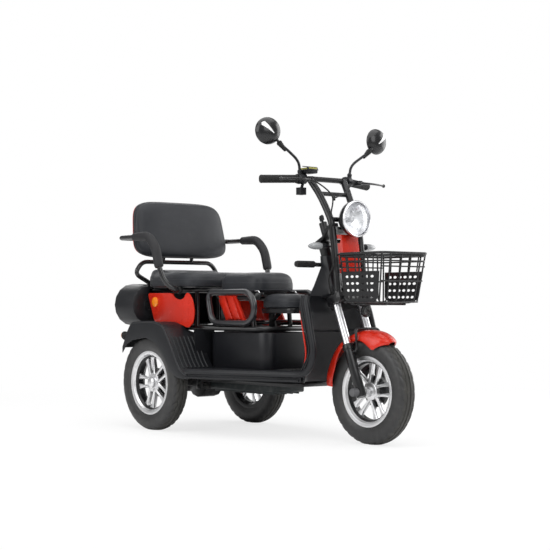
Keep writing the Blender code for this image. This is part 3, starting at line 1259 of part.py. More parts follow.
# Rear axle: housing, gear case, brake plates, shafts, arms to the pivot and shock lugs
bm = bmesh.new()
plate_y = REAR_WHEEL_Y - 0.040 - GAP
shaft_y = REAR_WHEEL_Y + 0.012 - GAP
side = [(SHAFT_R, shaft_y), (SHAFT_R, plate_y), (0.058, plate_y), (0.058, plate_y - 0.004),
        (0.022, plate_y - 0.005),
        (0.022, 0.060), (0.074, 0.045)]
profile = [(0, shaft_y)] + side + [(r, -a) for r, a in side[::-1]] + [(0, -shaft_y)]
lathe(bm, profile, (0, 0, TYRE_R), Y, 12)
tool = bmesh.new()
LOWER_X = 0.000
LOWER_Z = TYRE_R + 0.094
for s in (-1, 1):
    arm = [(PIVOT_X + 0.004, PIVOT_Z - 0.013), (PIVOT_X + 0.004, PIVOT_Z + 0.013), (-0.002, TYRE_R + 0.012),
           (-0.002, TYRE_R - 0.016)]
    slab_y(tool, arm, min(s * 0.076, s * 0.092), max(s * 0.076, s * 0.092))
    lug = [(-0.030, TYRE_R + 0.050), (0.030, TYRE_R + 0.050), (LOWER_X + 0.010, LOWER_Z + 0.010),
           (LOWER_X - 0.010, LOWER_Z + 0.010)]
    slab_y(tool, lug, min(s * 0.014, s * 0.019), max(s * 0.014, s * 0.019))
rod(tool, (LOWER_X, -0.022, LOWER_Z), (LOWER_X, 0.022, LOWER_Z), PIN_R, 10)
MOTOR_X = -0.074 - 0.050
lathe(tool, [(0, -0.070), (0.052, -0.066), (0.052, 0.066), (0, 0.070)], (MOTOR_X, 0, TYRE_R - 0.004), Y, 12)
bm = combine(bm, tool)
sleeve = bmesh.new()
lathe(sleeve, [(PIVOT_R + GAP, 0.010 - LUG_Y + GAP), (0.016, 0.010 - LUG_Y + GAP),
               (0.016, LUG_Y - 0.010 - GAP),
               (PIVOT_R + GAP, LUG_Y - 0.010 - GAP)], (PIVOT_X, 0, PIVOT_Z), Y, 14, closed=True)
bore_cut = bmesh.new()
rod(bore_cut, (PIVOT_X, -0.2, PIVOT_Z), (PIVOT_X, 0.2, PIVOT_Z), PIVOT_R + GAP, 8)
bm = combine(bm, bore_cut, "DIFFERENCE")
bm = combine(bm, sleeve)
node("rear_axle", bm, BLACK_PAINT, SWING)

# Shock: a sleeve with the upper eye, and a rod with the lower eye that slides in it
SHOCK_TOP = Vector((SHOCK_X, 0, SHOCK_Z))
LOWER = Vector((LOWER_X, 0, LOWER_Z))
SHOCK_DIR = (LOWER - SHOCK_TOP).normalized()
SHOCK_L = (LOWER - SHOCK_TOP).length
SHOCK = joint("shock_tilt", SHOCK_TOP, ROOT)
ROD = joint("shock_slide", LOWER, SHOCK)
EYE_W = 0.0140 - GAP
bm = bmesh.new()
lathe(bm, [(0, 0.002), (0.010, 0.010), (0.024, 0.026), (0.024, 0.085), (0.0078, 0.085), (0.0078, 0.040),
           (0, 0.040)],
      SHOCK_TOP, SHOCK_DIR, 10)
tool = bmesh.new()
rod(tool, SHOCK_TOP - Y * EYE_W, SHOCK_TOP + Y * EYE_W, 0.012, 10)
bm = combine(bm, tool)
cut = bmesh.new()
rod(cut, SHOCK_TOP - Y * 0.05, SHOCK_TOP + Y * 0.05, PIN_R + GAP * 3, 10)
bm = combine(bm, cut, "DIFFERENCE")
node("shock_body", bm, BLACK_PAINT, SHOCK)
bm = bmesh.new()
lathe(bm, [(0, -SHOCK_L + 0.052), (0.0075, -SHOCK_L + 0.052), (0.0075, -0.018), (0.013, -0.014),
           (0.013, -0.002),
           (0, -0.002)], LOWER, SHOCK_DIR, 10)
tool = bmesh.new()
rod(tool, LOWER - Y * EYE_W, LOWER + Y * EYE_W, 0.0105, 10)
bm = combine(bm, tool)
cut = bmesh.new()
rod(cut, LOWER - Y * 0.05, LOWER + Y * 0.05, PIN_R + GAP * 5, 10)
bm = combine(bm, cut, "DIFFERENCE")
node("shock_rod", bm, CHROME, ROD)
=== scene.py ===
"""Looks of an electric tricycle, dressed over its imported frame."""
import json
from math import asin, copysign, cos, exp, hypot, pi, radians, sin

import bmesh
import bpy
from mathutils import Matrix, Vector, noise


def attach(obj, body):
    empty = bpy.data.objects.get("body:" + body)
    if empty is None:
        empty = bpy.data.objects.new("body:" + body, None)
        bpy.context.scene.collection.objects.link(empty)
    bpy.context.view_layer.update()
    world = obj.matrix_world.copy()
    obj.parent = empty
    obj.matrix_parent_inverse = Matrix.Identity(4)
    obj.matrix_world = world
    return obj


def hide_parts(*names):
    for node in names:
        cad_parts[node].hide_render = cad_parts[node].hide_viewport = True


# Place of the tricycle
# The pieces are drawn in millimetres from the ground under the rear axle, as on a maker's drawing, and
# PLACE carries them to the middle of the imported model. The floor, the lamps and the grain are in metres.
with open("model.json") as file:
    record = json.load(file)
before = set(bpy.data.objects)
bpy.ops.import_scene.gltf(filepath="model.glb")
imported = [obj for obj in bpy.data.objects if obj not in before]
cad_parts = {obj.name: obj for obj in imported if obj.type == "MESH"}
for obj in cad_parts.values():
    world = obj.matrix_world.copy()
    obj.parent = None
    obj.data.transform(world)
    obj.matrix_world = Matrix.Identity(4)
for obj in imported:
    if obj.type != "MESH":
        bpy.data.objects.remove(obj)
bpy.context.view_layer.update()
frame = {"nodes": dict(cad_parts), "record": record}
MM = 0.001
PLACE = Vector((-494, 0, -3.1752))

# Camera
# It stands at the photograph's own place, a little above wheel height in front and to the right of
# the tricycle, with a long lens that keeps the wheels nearly round.
eye = bpy.data.cameras.new("camera")
eye.sensor_width = 36
eye.lens = 89.64
eye.clip_end = 60
camera = bpy.data.objects.new("camera", eye)
camera.location = (Vector((4943.4, -3730.1, 550.6)) + PLACE) * MM
camera.rotation_euler = [radians(a) for a in (91.218, 0.11, 50.07)]
bpy.context.scene.collection.objects.link(camera)
bpy.context.scene.camera = camera
bpy.context.scene.view_settings.view_transform = "Standard"


# Pale floor, white surroundings and soft lamps
# The floor is matt and nearly white and takes the shadow. What the camera sees of the
# surroundings, also through glass, is white; a gloss sees them grey, and the light that falls on the tricycle
# is plain and soft.
class Value:
    """A value inside a finish; its operators add the Math nodes."""

    def __init__(self, finish, socket):
        self.finish = finish
        self.socket = socket

    def maths(self, operation, first, second):
        return self.finish.add("ShaderNodeMath", {"operation": operation}, {0: first, 1: second})

    def __add__(self, other):
        return self.maths("ADD", self, other)

    def __sub__(self, other):
        return self.maths("SUBTRACT", self, other)

    def __mul__(self, other):
        return self.maths("MULTIPLY", self, other)

    def __gt__(self, other):
        return self.maths("GREATER_THAN", self, other)

    def __or__(self, other):
        return self.maths("MAXIMUM", self, other)


class Finish:
    """A node tree whose nodes are added with their settings and wired by value."""

    def __init__(self, owner):
        owner.use_nodes = True
        self.owner = owner
        self.nodes = owner.node_tree.nodes

    def put(self, socket, value):
        if isinstance(value, Value):
            self.owner.node_tree.links.new(value.socket, socket)
        else:
            socket.default_value = value

    def add(self, kind, settings=None, sockets=None, out=0):
        made = self.nodes.new(kind)
        for key, value in (settings or {}).items():
            setattr(made, key, value)
        for key, value in (sockets or {}).items():
            self.put(made.inputs[key], value)
        return Value(self, made.outputs[out])

    def seen(self):
        """1 where a camera or a glass looks, 0 for light."""
        direct = self.add("ShaderNodeLightPath", out="Is Camera Ray")
        return direct | self.add("ShaderNodeLightPath", out="Is Transmission Ray")


world = bpy.data.worlds.new("surroundings")
bpy.context.scene.world = world
sky = Finish(world)
sky.put(sky.nodes["Background"].inputs["Color"], (1, 1, 1, 1))
sky.put(sky.nodes["Background"].inputs["Strength"], sky.seen() * 0.66 + 0.34)

floor_mesh = bpy.data.meshes.new("floor")
floor_mesh.from_pydata([(-14, -14, 0), (14, -14, 0), (14, 14, 0), (-14, 14, 0)], [], [(0, 1, 2, 3)])
floor = bpy.data.objects.new("floor", floor_mesh)
bpy.context.scene.collection.objects.link(floor)
pale = Finish(bpy.data.materials.new("pale_floor"))
matt = pale.nodes["Principled BSDF"]
pale.put(matt.inputs["Base Color"], (0.88, 0.88, 0.88, 1))
pale.put(matt.inputs["Roughness"], 0.9)
pale.put(matt.inputs["Specular IOR Level"], 0.0)
white = pale.add("ShaderNodeEmission", sockets={"Color": (1, 1, 1, 1), "Strength": 1.0})
spot = pale.add("ShaderNodeTexCoord", out="Object")
reach = pale.add("ShaderNodeVectorMath", {"operation": "LENGTH"}, {0: spot}, "Value")
fade = pale.add("ShaderNodeClamp", sockets={"Value": reach * 0.40 - 0.42})
share = fade * 0.26 + 0.74
mixed = pale.add("ShaderNodeMixShader",
                 sockets={0: pale.seen() * share, 1: Value(pale, matt.outputs[0]), 2: white})
pale.put(pale.nodes["Material Output"].inputs["Surface"], mixed)
floor_mesh.materials.append(pale.owner)

LAMPS = (("overhead", (0.3, -0.4, 3.4), 4.0, 86), ("front_left", (3.4, -1.0, 2.4), 2.4, 50),
         ("side_right", (-0.6, -3.6, 2.1), 2.6, 60), ("front_far", (0.9, 3.3, 1.7), 3.0, 80),
         ("behind", (-3.2, 1.4, 2.2), 2.2, 30))
for name, at, size, power in LAMPS:
    lamp = bpy.data.lights.new(name, "AREA")
    lamp.size = size
    lamp.energy = power
    holder = bpy.data.objects.new(name, lamp)
    holder.location = at
    holder.rotation_euler = (Vector((0, 0, 0.5)) - Vector(at)).to_track_quat("-Z", "Y").to_euler()
    bpy.context.scene.collection.objects.link(holder)


# Painted steel frame
# Bent steel tubes, welded and painted satin black: a low pair of rails, two upper loops and the
# head tube. The paint has a faint orange peel. The controller hangs below in a dusty cast case.
def surface(slot, name, colour, rough, grain, depth, mottle=0.12, spread=0.10, metal=0.0,
            coat=0.0, cells=False, dust=0.0, **sockets):
    """A material with mottled colour, uneven roughness and a fine grain, and the slot it fills."""
    made = Finish(bpy.data.materials.new(name))
    shader = made.nodes["Principled BSDF"]
    where = made.add("ShaderNodeTexCoord", out="Object")
    broad = made.add("ShaderNodeTexNoise", sockets={"Vector": where, "Scale": 14.0, "Detail": 4.0})
    fine = made.add("ShaderNodeTexNoise", sockets={"Vector": where, "Scale": grain, "Detail": 3.0})
    low = tuple(c * (1 - mottle) for c in colour) + (1,)
    high = tuple(min(1.0, c * (1 + mottle) + 0.02 * mottle) for c in colour) + (1,)
    tint = made.add("ShaderNodeMix", {"data_type": "RGBA"}, {0: broad, 6: low, 7: high}, 2)
    if dust:
        patch = made.add("ShaderNodeTexNoise", sockets={"Vector": where, "Scale": 45.0, "Detail": 6.0})
        tint = made.add("ShaderNodeMix", {"data_type": "RGBA"},
                        {0: (patch > 0.5) * (patch - 0.5) * dust * 4, 6: tint, 7: (0.30, 0.28, 0.25, 1)}, 2)
    made.put(shader.inputs["Base Color"], tint)
    made.put(shader.inputs["Roughness"], (broad - 0.5) * spread + (fine - 0.5) * spread * 0.5 + rough)
    shader.inputs["Metallic"].default_value = metal
    shader.inputs["Coat Weight"].default_value = coat
    shader.inputs["Coat Roughness"].default_value = 0.06
    shader.inputs["Specular IOR Level"].default_value = 0.5 if metal else 0.34
    height = fine
    if cells:
        pore = made.add("ShaderNodeTexVoronoi", {"feature": "DISTANCE_TO_EDGE"},
                        {"Vector": where, "Scale": grain * 0.55})
        crease = made.add("ShaderNodeTexNoise", sockets={"Vector": where, "Scale": 60.0, "Detail": 5.0})
        height = fine * 0.4 + (pore | 0.0) * 1.6 + crease * 0.7
    bump = made.add("ShaderNodeBump", sockets={"Strength": 0.6, "Distance": depth, "Height": height})
    made.put(shader.inputs["Normal"], bump)
    for key, value in sockets.items():
        shader.inputs[key.replace("_", " ")].default_value = value
    return made.owner, slot


# Every piece is drawn in this one mesh, which show() sets down and empties again.
bm = bmesh.new()


def show(name, body, finish, replaces="", angle=38, at=PLACE, unit=MM):
    """Sets down what was drawn, riding on a body, for the solid it stands for."""
    material, slot = finish
    bmesh.ops.scale(bm, vec=(unit, unit, unit), verts=bm.verts)
    bmesh.ops.recalc_face_normals(bm, faces=bm.faces)
    mesh = bpy.data.meshes.new(name)
    bm.to_mesh(mesh)
    bm.clear()
    mesh.materials.append(material)
    mesh.shade_smooth()
    mesh.set_sharp_from_angle(angle=radians(angle))
    piece = bpy.data.objects.new(name, mesh)
    piece.location = at * MM
    bpy.context.scene.collection.objects.link(piece)
    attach(piece, body)
    if replaces:
        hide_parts(replaces)
    return piece


def body_of(node):
    """The body that holds a node."""
    bodies = frame["record"]["behaviour"]["bodies"]
    return next(body for body, nodes in bodies.items() if node in nodes)


def dressed(node, finish, bevel, angle=38, steps=2, push=(0, 0, 0), wider=1.0):
    """The solid's own form with its edges rounded off, standing for it."""
    bm.from_mesh(frame["nodes"][node].data)
    bmesh.ops.remove_doubles(bm, verts=bm.verts, dist=0.00002)
    bmesh.ops.dissolve_limit(bm, angle_limit=radians(0.5), verts=bm.verts, edges=bm.edges)
    for v in bm.verts:
        v.co = Vector((v.co.x, v.co.y * wider, v.co.z)) + Vector(push) * MM
    sharp = [e for e in bm.edges if len(e.link_faces) == 2 and e.calc_face_angle(0) > radians(angle)]
    if bevel:
        bmesh.ops.bevel(bm, geom=sharp, offset=bevel * MM, segments=steps, profile=0.5, affect="EDGES",
                        clamp_overlap=True, harden_normals=False)
    bmesh.ops.triangulate(bm, faces=[f for f in bm.faces if len(f.verts) > 4])
    show(node + "_shown", body_of(node), finish, node, angle, Vector((0, 0, 0)), 1)


black_paint = surface("black_paint", "satin_black_paint", (0.007, 0.007, 0.008), 0.34, 900, 0.00012,
                      coat=0.25)
dressed("chassis_frame", black_paint, 0, 65)
dressed("motor_controller", surface("black_paint", "dark_casting", (0.010, 0.015, 0.016), 0.45, 700, 0.0002,
                                    dust=0.1), 2)

# Step-through floor
# A moulded tray of grained black plastic, ribbed below, with a rubber mat that has long grip ribs
# pressed into it where the rider's feet stand.
black_plastic = surface("black_plastic", "grained_black_plastic", (0.0080, 0.0086, 0.0108), 0.42, 1400,
                        0.00018, spread=0.14)
dressed("floor_board", black_plastic, 4)


def skin(rows, ends=True, closed=False):
    """Faces from ring to ring of vertices, where a single vertex is a pole. Gives the end faces."""
    for low, high in zip(rows, rows[1:] + rows[:1] if closed else rows[1:]):
        count = max(len(low), len(high))
        for k in range(count):
            j = (k + 1) % count
            spots = low[k % len(low)], low[j % len(low)], high[j % len(high)], high[k % len(high)]
            bm.faces.new(tuple(dict.fromkeys(spots)))
    return [bm.faces.new(rows[0][::-1]), bm.faces.new(rows[-1])] if ends else []


X, Y, Z = Vector((1, 0, 0)), Vector((0, 1, 0)), Vector((0, 0, 1))


def turned(profile, base, direction, segs, closed=False):
    """Turns a profile of (radius, along) about an axis."""
    d = Vector(direction).normalized()
    u = (Z if abs(d.z) < 0.9 else Y).cross(d).normalized()
    v = d.cross(u)
    turn = [2 * pi * (k + 0.5) / segs for k in range(segs)]
    rows = [[bm.verts.new(Vector(base) + d * along + radius * (u * cos(a) + v * sin(a)))
             for a in (turn if radius else turn[:1])] for radius, along in profile]
    skin(rows, False, closed)
    return rows


def curve(points, cut, steps, closed=False):
    """A line of points with its corners rounded."""
    pts = [Vector(p) for p in points]
    out = []
    for i, p in enumerate(pts):
        if not closed and i in (0, len(pts) - 1):
            out.append(p)
            continue
        before = pts[i - 1] - p
        after = pts[(i + 1) % len(pts)] - p
        a = p + before.normalized() * min(cut, before.length * 0.48)
        b = p + after.normalized() * min(cut, after.length * 0.48)
        for k in range(steps + 1):
            t = k / steps
            out.append(a * (1 - t) ** 2 + p * 2 * t * (1 - t) + b * t * t)
    return out


def tube(points, radius, sides, closed=False, flat=1.0):
    """A round bar along a line; flat squeezes its section across."""
    pts = [Vector(p) for p in points]
    count = len(pts)
    turn = [2 * pi * (k + 0.5) / sides for k in range(sides)]
    side = None
    rows = []
    for i, p in enumerate(pts):
        back = p - pts[i - 1] if closed or i else pts[1] - p
        fore = pts[(i + 1) % count] - p if closed or i < count - 1 else back
        t = (back.normalized() + fore.normalized()).normalized()
        if side is None:
            side = (Z if abs(t.z) < 0.9 else Y).cross(t)
        side = (side - t * side.dot(t)).normalized()
        other = t.cross(side) * flat
        size = radius[i] if isinstance(radius, list) else radius
        rows.append([bm.verts.new(p + size * (side * cos(a) + other * sin(a))) for a in turn])
    skin(rows, not closed, closed)


def plate(outline, y, other_y, cut=0.0, bevel=0.0):
    """A flat plate across Y from an outline of (x, z), with its corners and rims rounded off."""
    ring = [Vector((x, 0, z)) for x, z in outline]
    if cut:
        ring = curve(ring, cut, 6, closed=True)
    ends = skin([[bm.verts.new((p.x, at, p.z)) for p in ring] for at in sorted((y, other_y))])
    if bevel:
        bmesh.ops.bevel(bm, geom=[e for f in ends for e in f.edges], offset=bevel, segments=2, profile=0.5,
                        affect="EDGES", clamp_overlap=True)


rubber = surface("rubber", "matt_rubber", (0.011, 0.011, 0.011), 0.70, 1500, 0.0002, spread=0.12)
for k in range(11):
    y = -100 + 20 * k
    tube([(627, y, 280.8), (717, y, 280.8)], 3, 8)
show("floor_grip_ribs", "chassis", rubber)


# Leg shield
# A moulded apron in front of the rider's shins: a bulge over the front wheel, waisted in the middle,
# with the steering head's cover standing on it. Rolled beads follow its edges and run on round the
# floor, and a red trim strip lies behind each edge.
def flip(p, s):
    """A point of the left side, or with s = -1 its mirror image on the right."""
    return Vector((p[0], s * p[1], p[2]))


def both(line, cut, steps, radius, sides, closed=False):
    """The same bent bar on both sides."""
    for s in (-1, 1):
        tube(curve([flip(p, s) for p in line], cut, steps, closed), radius, sides, closed)


dressed("leg_shield", black_plastic, 3.5, 44, 3)
red_paint = surface("red_paint", "gloss_red_plastic", (0.60, 0.022, 0.008), 0.27, 900, 0.00004, mottle=0.08,
                    spread=0.06, coat=0.12)
strip = [(858.5, 166.5, 292), (881, 167.5, 352), (862, 167.5, 432), (842, 166, 524)]
both(strip, 50, 10, 3.4, 10)
show("leg_shield_trim", "chassis", red_paint)
side_line = [(870, 170, 262), (884, 172, 285), (938, 172, 363), (914, 172, 437), (896, 170, 500),
             (886, 169, 530), (874, 165, 560), (866, 152, 582)]
for inset, thick in ((6, 5.6), (20, 4.2), (31, 4.2)):
    both([(x - inset, y - 0.5, z) for x, y, z in side_line], 30, 6, thick, 12)
show("leg_shield_beads", "chassis", black_plastic)
roll = [(866, 152, 580), (872, 164, 560), (888, 168.5, 520), (908, 171.5, 445), (926, 172.5, 385),
        (924, 173.5, 335), (900, 174, 288), (852, 176.5, 268), (700, 218, 268), (476, 288.5, 268),
        (314, 323.5, 268), (296, 323.5, 268)]
both(roll, 40, 8, 12.8, 16)
both([(x, y + 9.5, z - 21.5) for x, y, z in roll[7:]], 20, 6, 4, 8)
show("floor_edge_roll", "chassis", black_plastic)

# Seat box and battery
# A deep tub of glossy black plastic below the saddle. The battery stands in it in its own grained
# case and is lifted out by the strap.
dressed("seat_box", surface("black_plastic", "sheen_black_plastic", (0.0060, 0.0064, 0.0088), 0.38, 900,
                            0.0001), 1.5)
dressed("battery_pack", black_plastic, 2)


# Red side covers
# Injection-moulded gloss red panels under the bench, scalloped round the handrail's socket. An
# amber reflector sits on the rear corner of each.
def outward(profile, at, segs=32, closed=False):
    """The same turned form on both sides, facing outward."""
    for s in (-1, 1):
        turned(profile, flip(at, s), Y * s, segs, closed)


cover = [(-137, 600.2), (-83, 471.5), (0.0, 475.3), (74, 474.3), (118, 462.3), (168, 448), (203, 470),
         (213.5, 518), (200, 570), (172, 600.2), (152, 600.2), (140, 578.2), (110, 569.2), (72, 578.2),
         (46, 600.2)]
top_lip = [(-130, 599), (-128, 594.2), (36, 594.2), (34, 599)]
LEFT, RIGHT = ("left", 1), ("right", -1)
for side, s in (LEFT, RIGHT):
    plate(cover, s * 218.3, s * 222.3, 16, 1.4)
    plate(top_lip, s * 198.5, s * 219)
    show("side_panel_" + side, "chassis", red_paint, "side_cover_" + side, 30)
amber = surface("amber_lens", "amber_lens", (0.85, 0.24, 0.01), 0.12, 500, 0.0003, coat=0.5)
outward([(0, 6.5), (13.5, 6), (21.375, 3.5), (22.5, 0)], (-79, 222.4, 561))
show("side_reflectors", "chassis", amber)

# Saddle skirt
# Two red panels hang below the saddle between the rails, each pressed with two broad flutes that
# slant forward as they run down.
dressed("saddle_skirt", red_paint, 0.8, wider=0.94)
for s in (-1, 1):
    for x in (257, 308):
        plate([(x, 586), (x + 41, 586), (x + 97, 487), (x + 56, 487)], s * 112, s * 126.8, 0.0, 3.4)
show("skirt_flutes", "chassis", red_paint)


# Rear fenders
# Deep black channels over the rear wheels that run down to the floor, with pressed ribs on the
# front slope where a foot steps and a rounded outer shoulder. A web closes each to the seat box.
def slab(low, high):
    """A box between two corners."""
    xs, ys, zs = zip(low, high)
    spots = [bm.verts.new((xs[i], ys[j], zs[k])) for i in (0, 1) for j in (0, 1) for k in (0, 1)]
    for face in ((0, 1, 3, 2), (4, 6, 7, 5), (0, 4, 5, 1), (2, 3, 7, 6), (0, 2, 6, 4), (1, 5, 7, 3)):
        bm.faces.new([spots[i] for i in face])


for side in ("left", "right"):
    dressed("rear_fender_" + side, black_plastic, 1.8, 30, 3)
RIBS = 7
for k in range(RIBS):
    y = 168 + 148 * (k + 0.5) / RIBS
    both([(164, y, 410.5), (187, y, 375.5), (230, y, 305.5), (250, y, 281.5)], 10, 4, 4.2, 10)
shoulder = [(-146, 419.5), (-108, 469), (0, 474), (74, 473), (118, 461), (136, 444), (186, 375), (230, 304),
            (259, 269), (306, 252)]
both([(x, 326.5, z) for x, z in shoulder], 20, 5, 5, 12)
show("fender_ribs", "chassis", black_plastic)
for s in (-1, 1):
    slab((203.5, s * 108, 280.6), (206.5, s * 213.2, 442))
show("fender_webs", "chassis", black_plastic)

# Tail panel and rear lamps
# A black moulded shell with round ends closes the body. Two round red lamps are screwed to it, and
# amber signals stand on rubber stalks on the fenders' rear slopes.
dressed("tail_panel", black_plastic, 2, 30, 3)
disc = [(0, -1), (18, -1), (19.5, 1.2), (22, 1.2), (23.5, -1.8), (46, -1.8), (48, 1.6), (80, 1.6),
        (83.8, -1), (83.8, -4), (0, -4)]
screw = [(0, 1.6), (4.5, 1.6), (4.5, 3.4), (3.2, 4.4), (0, 4.4)]
walls = []
for s in (-1, 1):
    turned(disc, (-150.5, s * 209, 549), X, 72)
    turned(screw, (-150.5, s * 270, 549), X, 20)
    cut = bmesh.ops.bisect_plane(bm, geom=bm.verts[:] + bm.edges[:] + bm.faces[:],
                                 plane_co=(0, s * 204.5, 0), plane_no=(0, s, 0), clear_inner=True)
    loops = [e for e in cut["geom_cut"] if isinstance(e, bmesh.types.BMEdge)]
    bmesh.ops.contextual_create(bm, geom=loops)
    walls.append(bpy.data.meshes.new("wall"))
    bm.to_mesh(walls[-1])
    bm.clear()
for wall in walls:
    bm.from_mesh(wall)
    bpy.data.meshes.remove(wall)
show("tail_end_walls", "chassis", black_plastic)
red_lens = surface("red_lens", "red_lens", (0.52, 0.008, 0.008), 0.10, 420, 0.0005, coat=0.6)
rim_black = surface("black_plastic", "lamp_ring", (0.012, 0.012, 0.012), 0.3, 800, 0.0001, coat=0.3)
lamp_at = (-290.3, 200, 548)
rings = [(31 - 6.2 * k + d, 5.8 + 0.6 * k + h) for k in range(5)
         for d, h in ((0.0, 0.0), (-1.6, 1.1), (-4.6, 1.1))]
# Clearance left between pieces that do not touch.
GAP = 0.3
for side, s in (LEFT, RIGHT):
    turned([(0, 0), (31, 0)] + rings + [(0, 9.2)], flip(lamp_at, s), -X, 64)
    show("tail_lamp_lens_" + side, "chassis", red_lens, "tail_lamp_" + side)
for s in (-1, 1):
    turned([(31.2, 0), (34, 0), (34, 6), (32.5, 8.5), (31.2, 6.5)], flip(lamp_at, s), -X, 64, closed=True)
show("tail_lamp_rings", "chassis", rim_black)
slope = Vector((32, 0, 58)).normalized()
away = Vector((-slope.z, 0, slope.x))
for side, s in (LEFT, RIGHT):
    foot = Vector((-164, s * 300, 391))
    turned([(0, 6), (16.5, 6), (16.5, 11), (13, 15.5), (7, 18), (0, 18.8)],
           foot + away * 41, (-1, 0, 0.15), 40)
    show("rear_signal_lens_" + side, "chassis", amber, "rear_turn_signal_" + side)
    turned([(0, 0), (9, 0), (9, 3), (6.5, 5), (6.2, 9), (7.5, 11), (6.2, 13), (7.5, 15), (6.2, 18),
            (15, 24.5), (18.2, 30), (19, 40), (16.5, 50), (12.5, 57.5), (6.5, 61.2), (0, 62)],
           foot + away * GAP, away, 32)
    show("rear_signal_stalk_" + side, "chassis", rubber)


# Guard rails
# A closed loop of 26 mm steel tube in satin grey stands on each side of the saddle, and a cross tube
# behind it joins the two. Black rubber feet sit over the upper rails.
def cross(end, radius, sides=16):
    """A straight bar from side to side."""
    tube([flip(end, -1), end], radius, sides)


grey_paint = surface("grey_paint", "satin_grey_paint", (0.022, 0.022, 0.025), 0.30, 900, 0.0001, metal=0.2,
                     coat=0.4)
bow = [radians(90 - 15 * k) for k in range(13)]
d_loop = [(238, 170, 602), (270, 170, 471)]
d_loop[1:1] = [(490.5 + 65.5 * cos(a), 170, 536.5 + 65.5 * sin(a)) for a in bow]
both(d_loop, 48, 12, 13, 20, closed=True)
cross((283, 170, 471.5), 10.5)
show("guard_loops", "chassis", grey_paint, "guard_rails")
for s in (-1, 1):
    for x in (315, 480):
        slab((x, s * 165 - 13, 457), (x + 20, s * 165 + 13, 465))
bmesh.ops.bevel(bm, geom=bm.edges[:], offset=1.5, segments=2, profile=0.5, affect="EDGES")
show("guard_feet", "chassis", rubber)


# Bench and backrest
# Moulded foam in dark grey leathercloth, sewn from a top panel and a side band with a piped seam
# between them, and drawn down in cross channels. The backrest sits in a thin red shell.
def even(count):
    """Steps from -1 to 1, closer together at the ends."""
    return [sin(pi / 2 * (2 * i / count - 1)) for i in range(count + 1)]


def rounded(u, v, power):
    """Maps a square onto a square with round corners."""
    n = (abs(u) ** power + abs(v) ** power) ** (1 / power)
    m = max(abs(u), abs(v))
    return (u * m / n, v * m / n) if n > 1e-6 else (0.0, 0.0)


def crown(u, v, edge, power):
    """Height factor that rolls off to the rim."""
    return edge + (1 - edge) * (1 - max(abs(u), abs(v)) ** power) ** 0.5


def grid(rows):
    """Faces over a grid of vertices."""
    for low, high in zip(rows, rows[1:]):
        for j in range(len(low) - 1):
            bm.faces.new((low[j], high[j], high[j + 1], low[j + 1]))


def border(count):
    """The steps of a grid all the way round its rim."""
    line = [(i, 0) for i in range(count)] + [(count, j) for j in range(count)]
    return line + [(count - i, count - j) for i, j in line]


def cushion(name, place, plan, height, body, stands_for, seed, count=44):
    """A padded form with a crowned top, drawn-in sides, small creases and a piped seam and hem."""
    us = even(count)
    top = []
    for u in us:
        row = []
        for v in us:
            a, b = plan(u, v)
            puff = noise.noise(Vector((a * 0.009 + seed, b * 0.009, seed))) * 1.6
            puff += noise.noise(Vector((a * 0.038, b * 0.038, seed))) * 0.5
            inside = (1 - abs(u) ** 8) * (1 - abs(v) ** 8)
            row.append(bm.verts.new(place(a, b, height(u, v) + puff * inside)))
        top.append(row)
    grid(top)
    rows = [[top[i][j] for i, j in border(count)]]
    middle = plan(0, 0)
    bands = {}
    for share, grow in ((0.985, 1.003), (0.94, 1.010), (0.80, 1.014), (0.60, 1.015), (0.40, 1.014),
                        (0.25, 1.010), (0.12, 0.985), (0.0, 0.93)):
        bands[share] = []
        for i, j in border(count):
            a, b = plan(us[i], us[j])
            ripple = 1 + 0.0016 * noise.noise(Vector((a * 0.024, b * 0.024, share * 3 + seed)))
            a = middle[0] + (a - middle[0]) * grow * ripple
            b = middle[1] + (b - middle[1]) * grow * ripple
            bands[share].append(place(a, b, height(us[i], us[j]) * share))
        rows.append([bm.verts.new(p) for p in bands[share]])
    skin(rows, False)
    bm.faces.new(rows[-1])
    piece = show(name, body, leather, stands_for, 60)
    tube(bands[0.94], 0.8, 6, closed=True)
    tube(bands[0.25], 2.1, 8, closed=True)
    show(name + "_piping", body, leather)


leather = surface("leather", "grained_leathercloth", (0.012, 0.0135, 0.0175), 0.44, 900, 0.0004,
                  mottle=0.22, spread=0.16, cells=True, Sheen_Weight=0.06, Sheen_Roughness=0.5)


def bench_plan(u, v):
    a, b = rounded(u, v, 5.0)
    return 10 + a * 202, b * (224 + 14 * u)


def bench_height(u, v):
    lip = 40 * max(0.0, (-u - 0.55) / 0.45) ** 1.5
    dip = sum(5.5 * exp(-((u - c) / 0.035) ** 2) for c in (-0.45, 0.15))
    return (70 + lip) * crown(u, v, 0.52, 7.0) - dip * (1 - abs(v) ** 6)


cushion("bench_pad", lambda a, b, h: (a, b, 623.3 + h), bench_plan, bench_height, "chassis",
        "bench_cushion", 1.3)
BACK_Z = 892.5
LEAN = 0.18


def back_place(a, b, h):
    return (-211 - LEAN * (b - BACK_Z) + h, a, b)


def back_plan(u, v):
    a, b = rounded(u, v, 5.0)
    return a * (248.5 - 13.3 * b), BACK_Z + 126.5 * b


def back_height(u, v):
    return 46 * crown(u, v, 0.34, 6.0)


cushion("backrest_pad", back_place, back_plan, back_height, "chassis", "backrest_cushion", 5.1)
CELLS = 36
shell = []
for size, belly in ((0.985, 0.0), (1.0, 14)):
    rows = []
    for u in even(CELLS):
        row = []
        for v in even(CELLS):
            a, b = rounded(u, v, 5.0)
            spot = back_place(a * (250.5 - 13.3 * b) * size, BACK_Z + 127.5 * b * size,
                              -GAP - belly * crown(u, v, 0.30, 4.0))
            row.append(bm.verts.new(spot))
        rows.append(row)
    grid(rows)
    shell.append([rows[i][j] for i, j in border(CELLS)])
skin(shell, False)
show("backrest_back", "chassis", red_paint, "backrest_shell", 50)

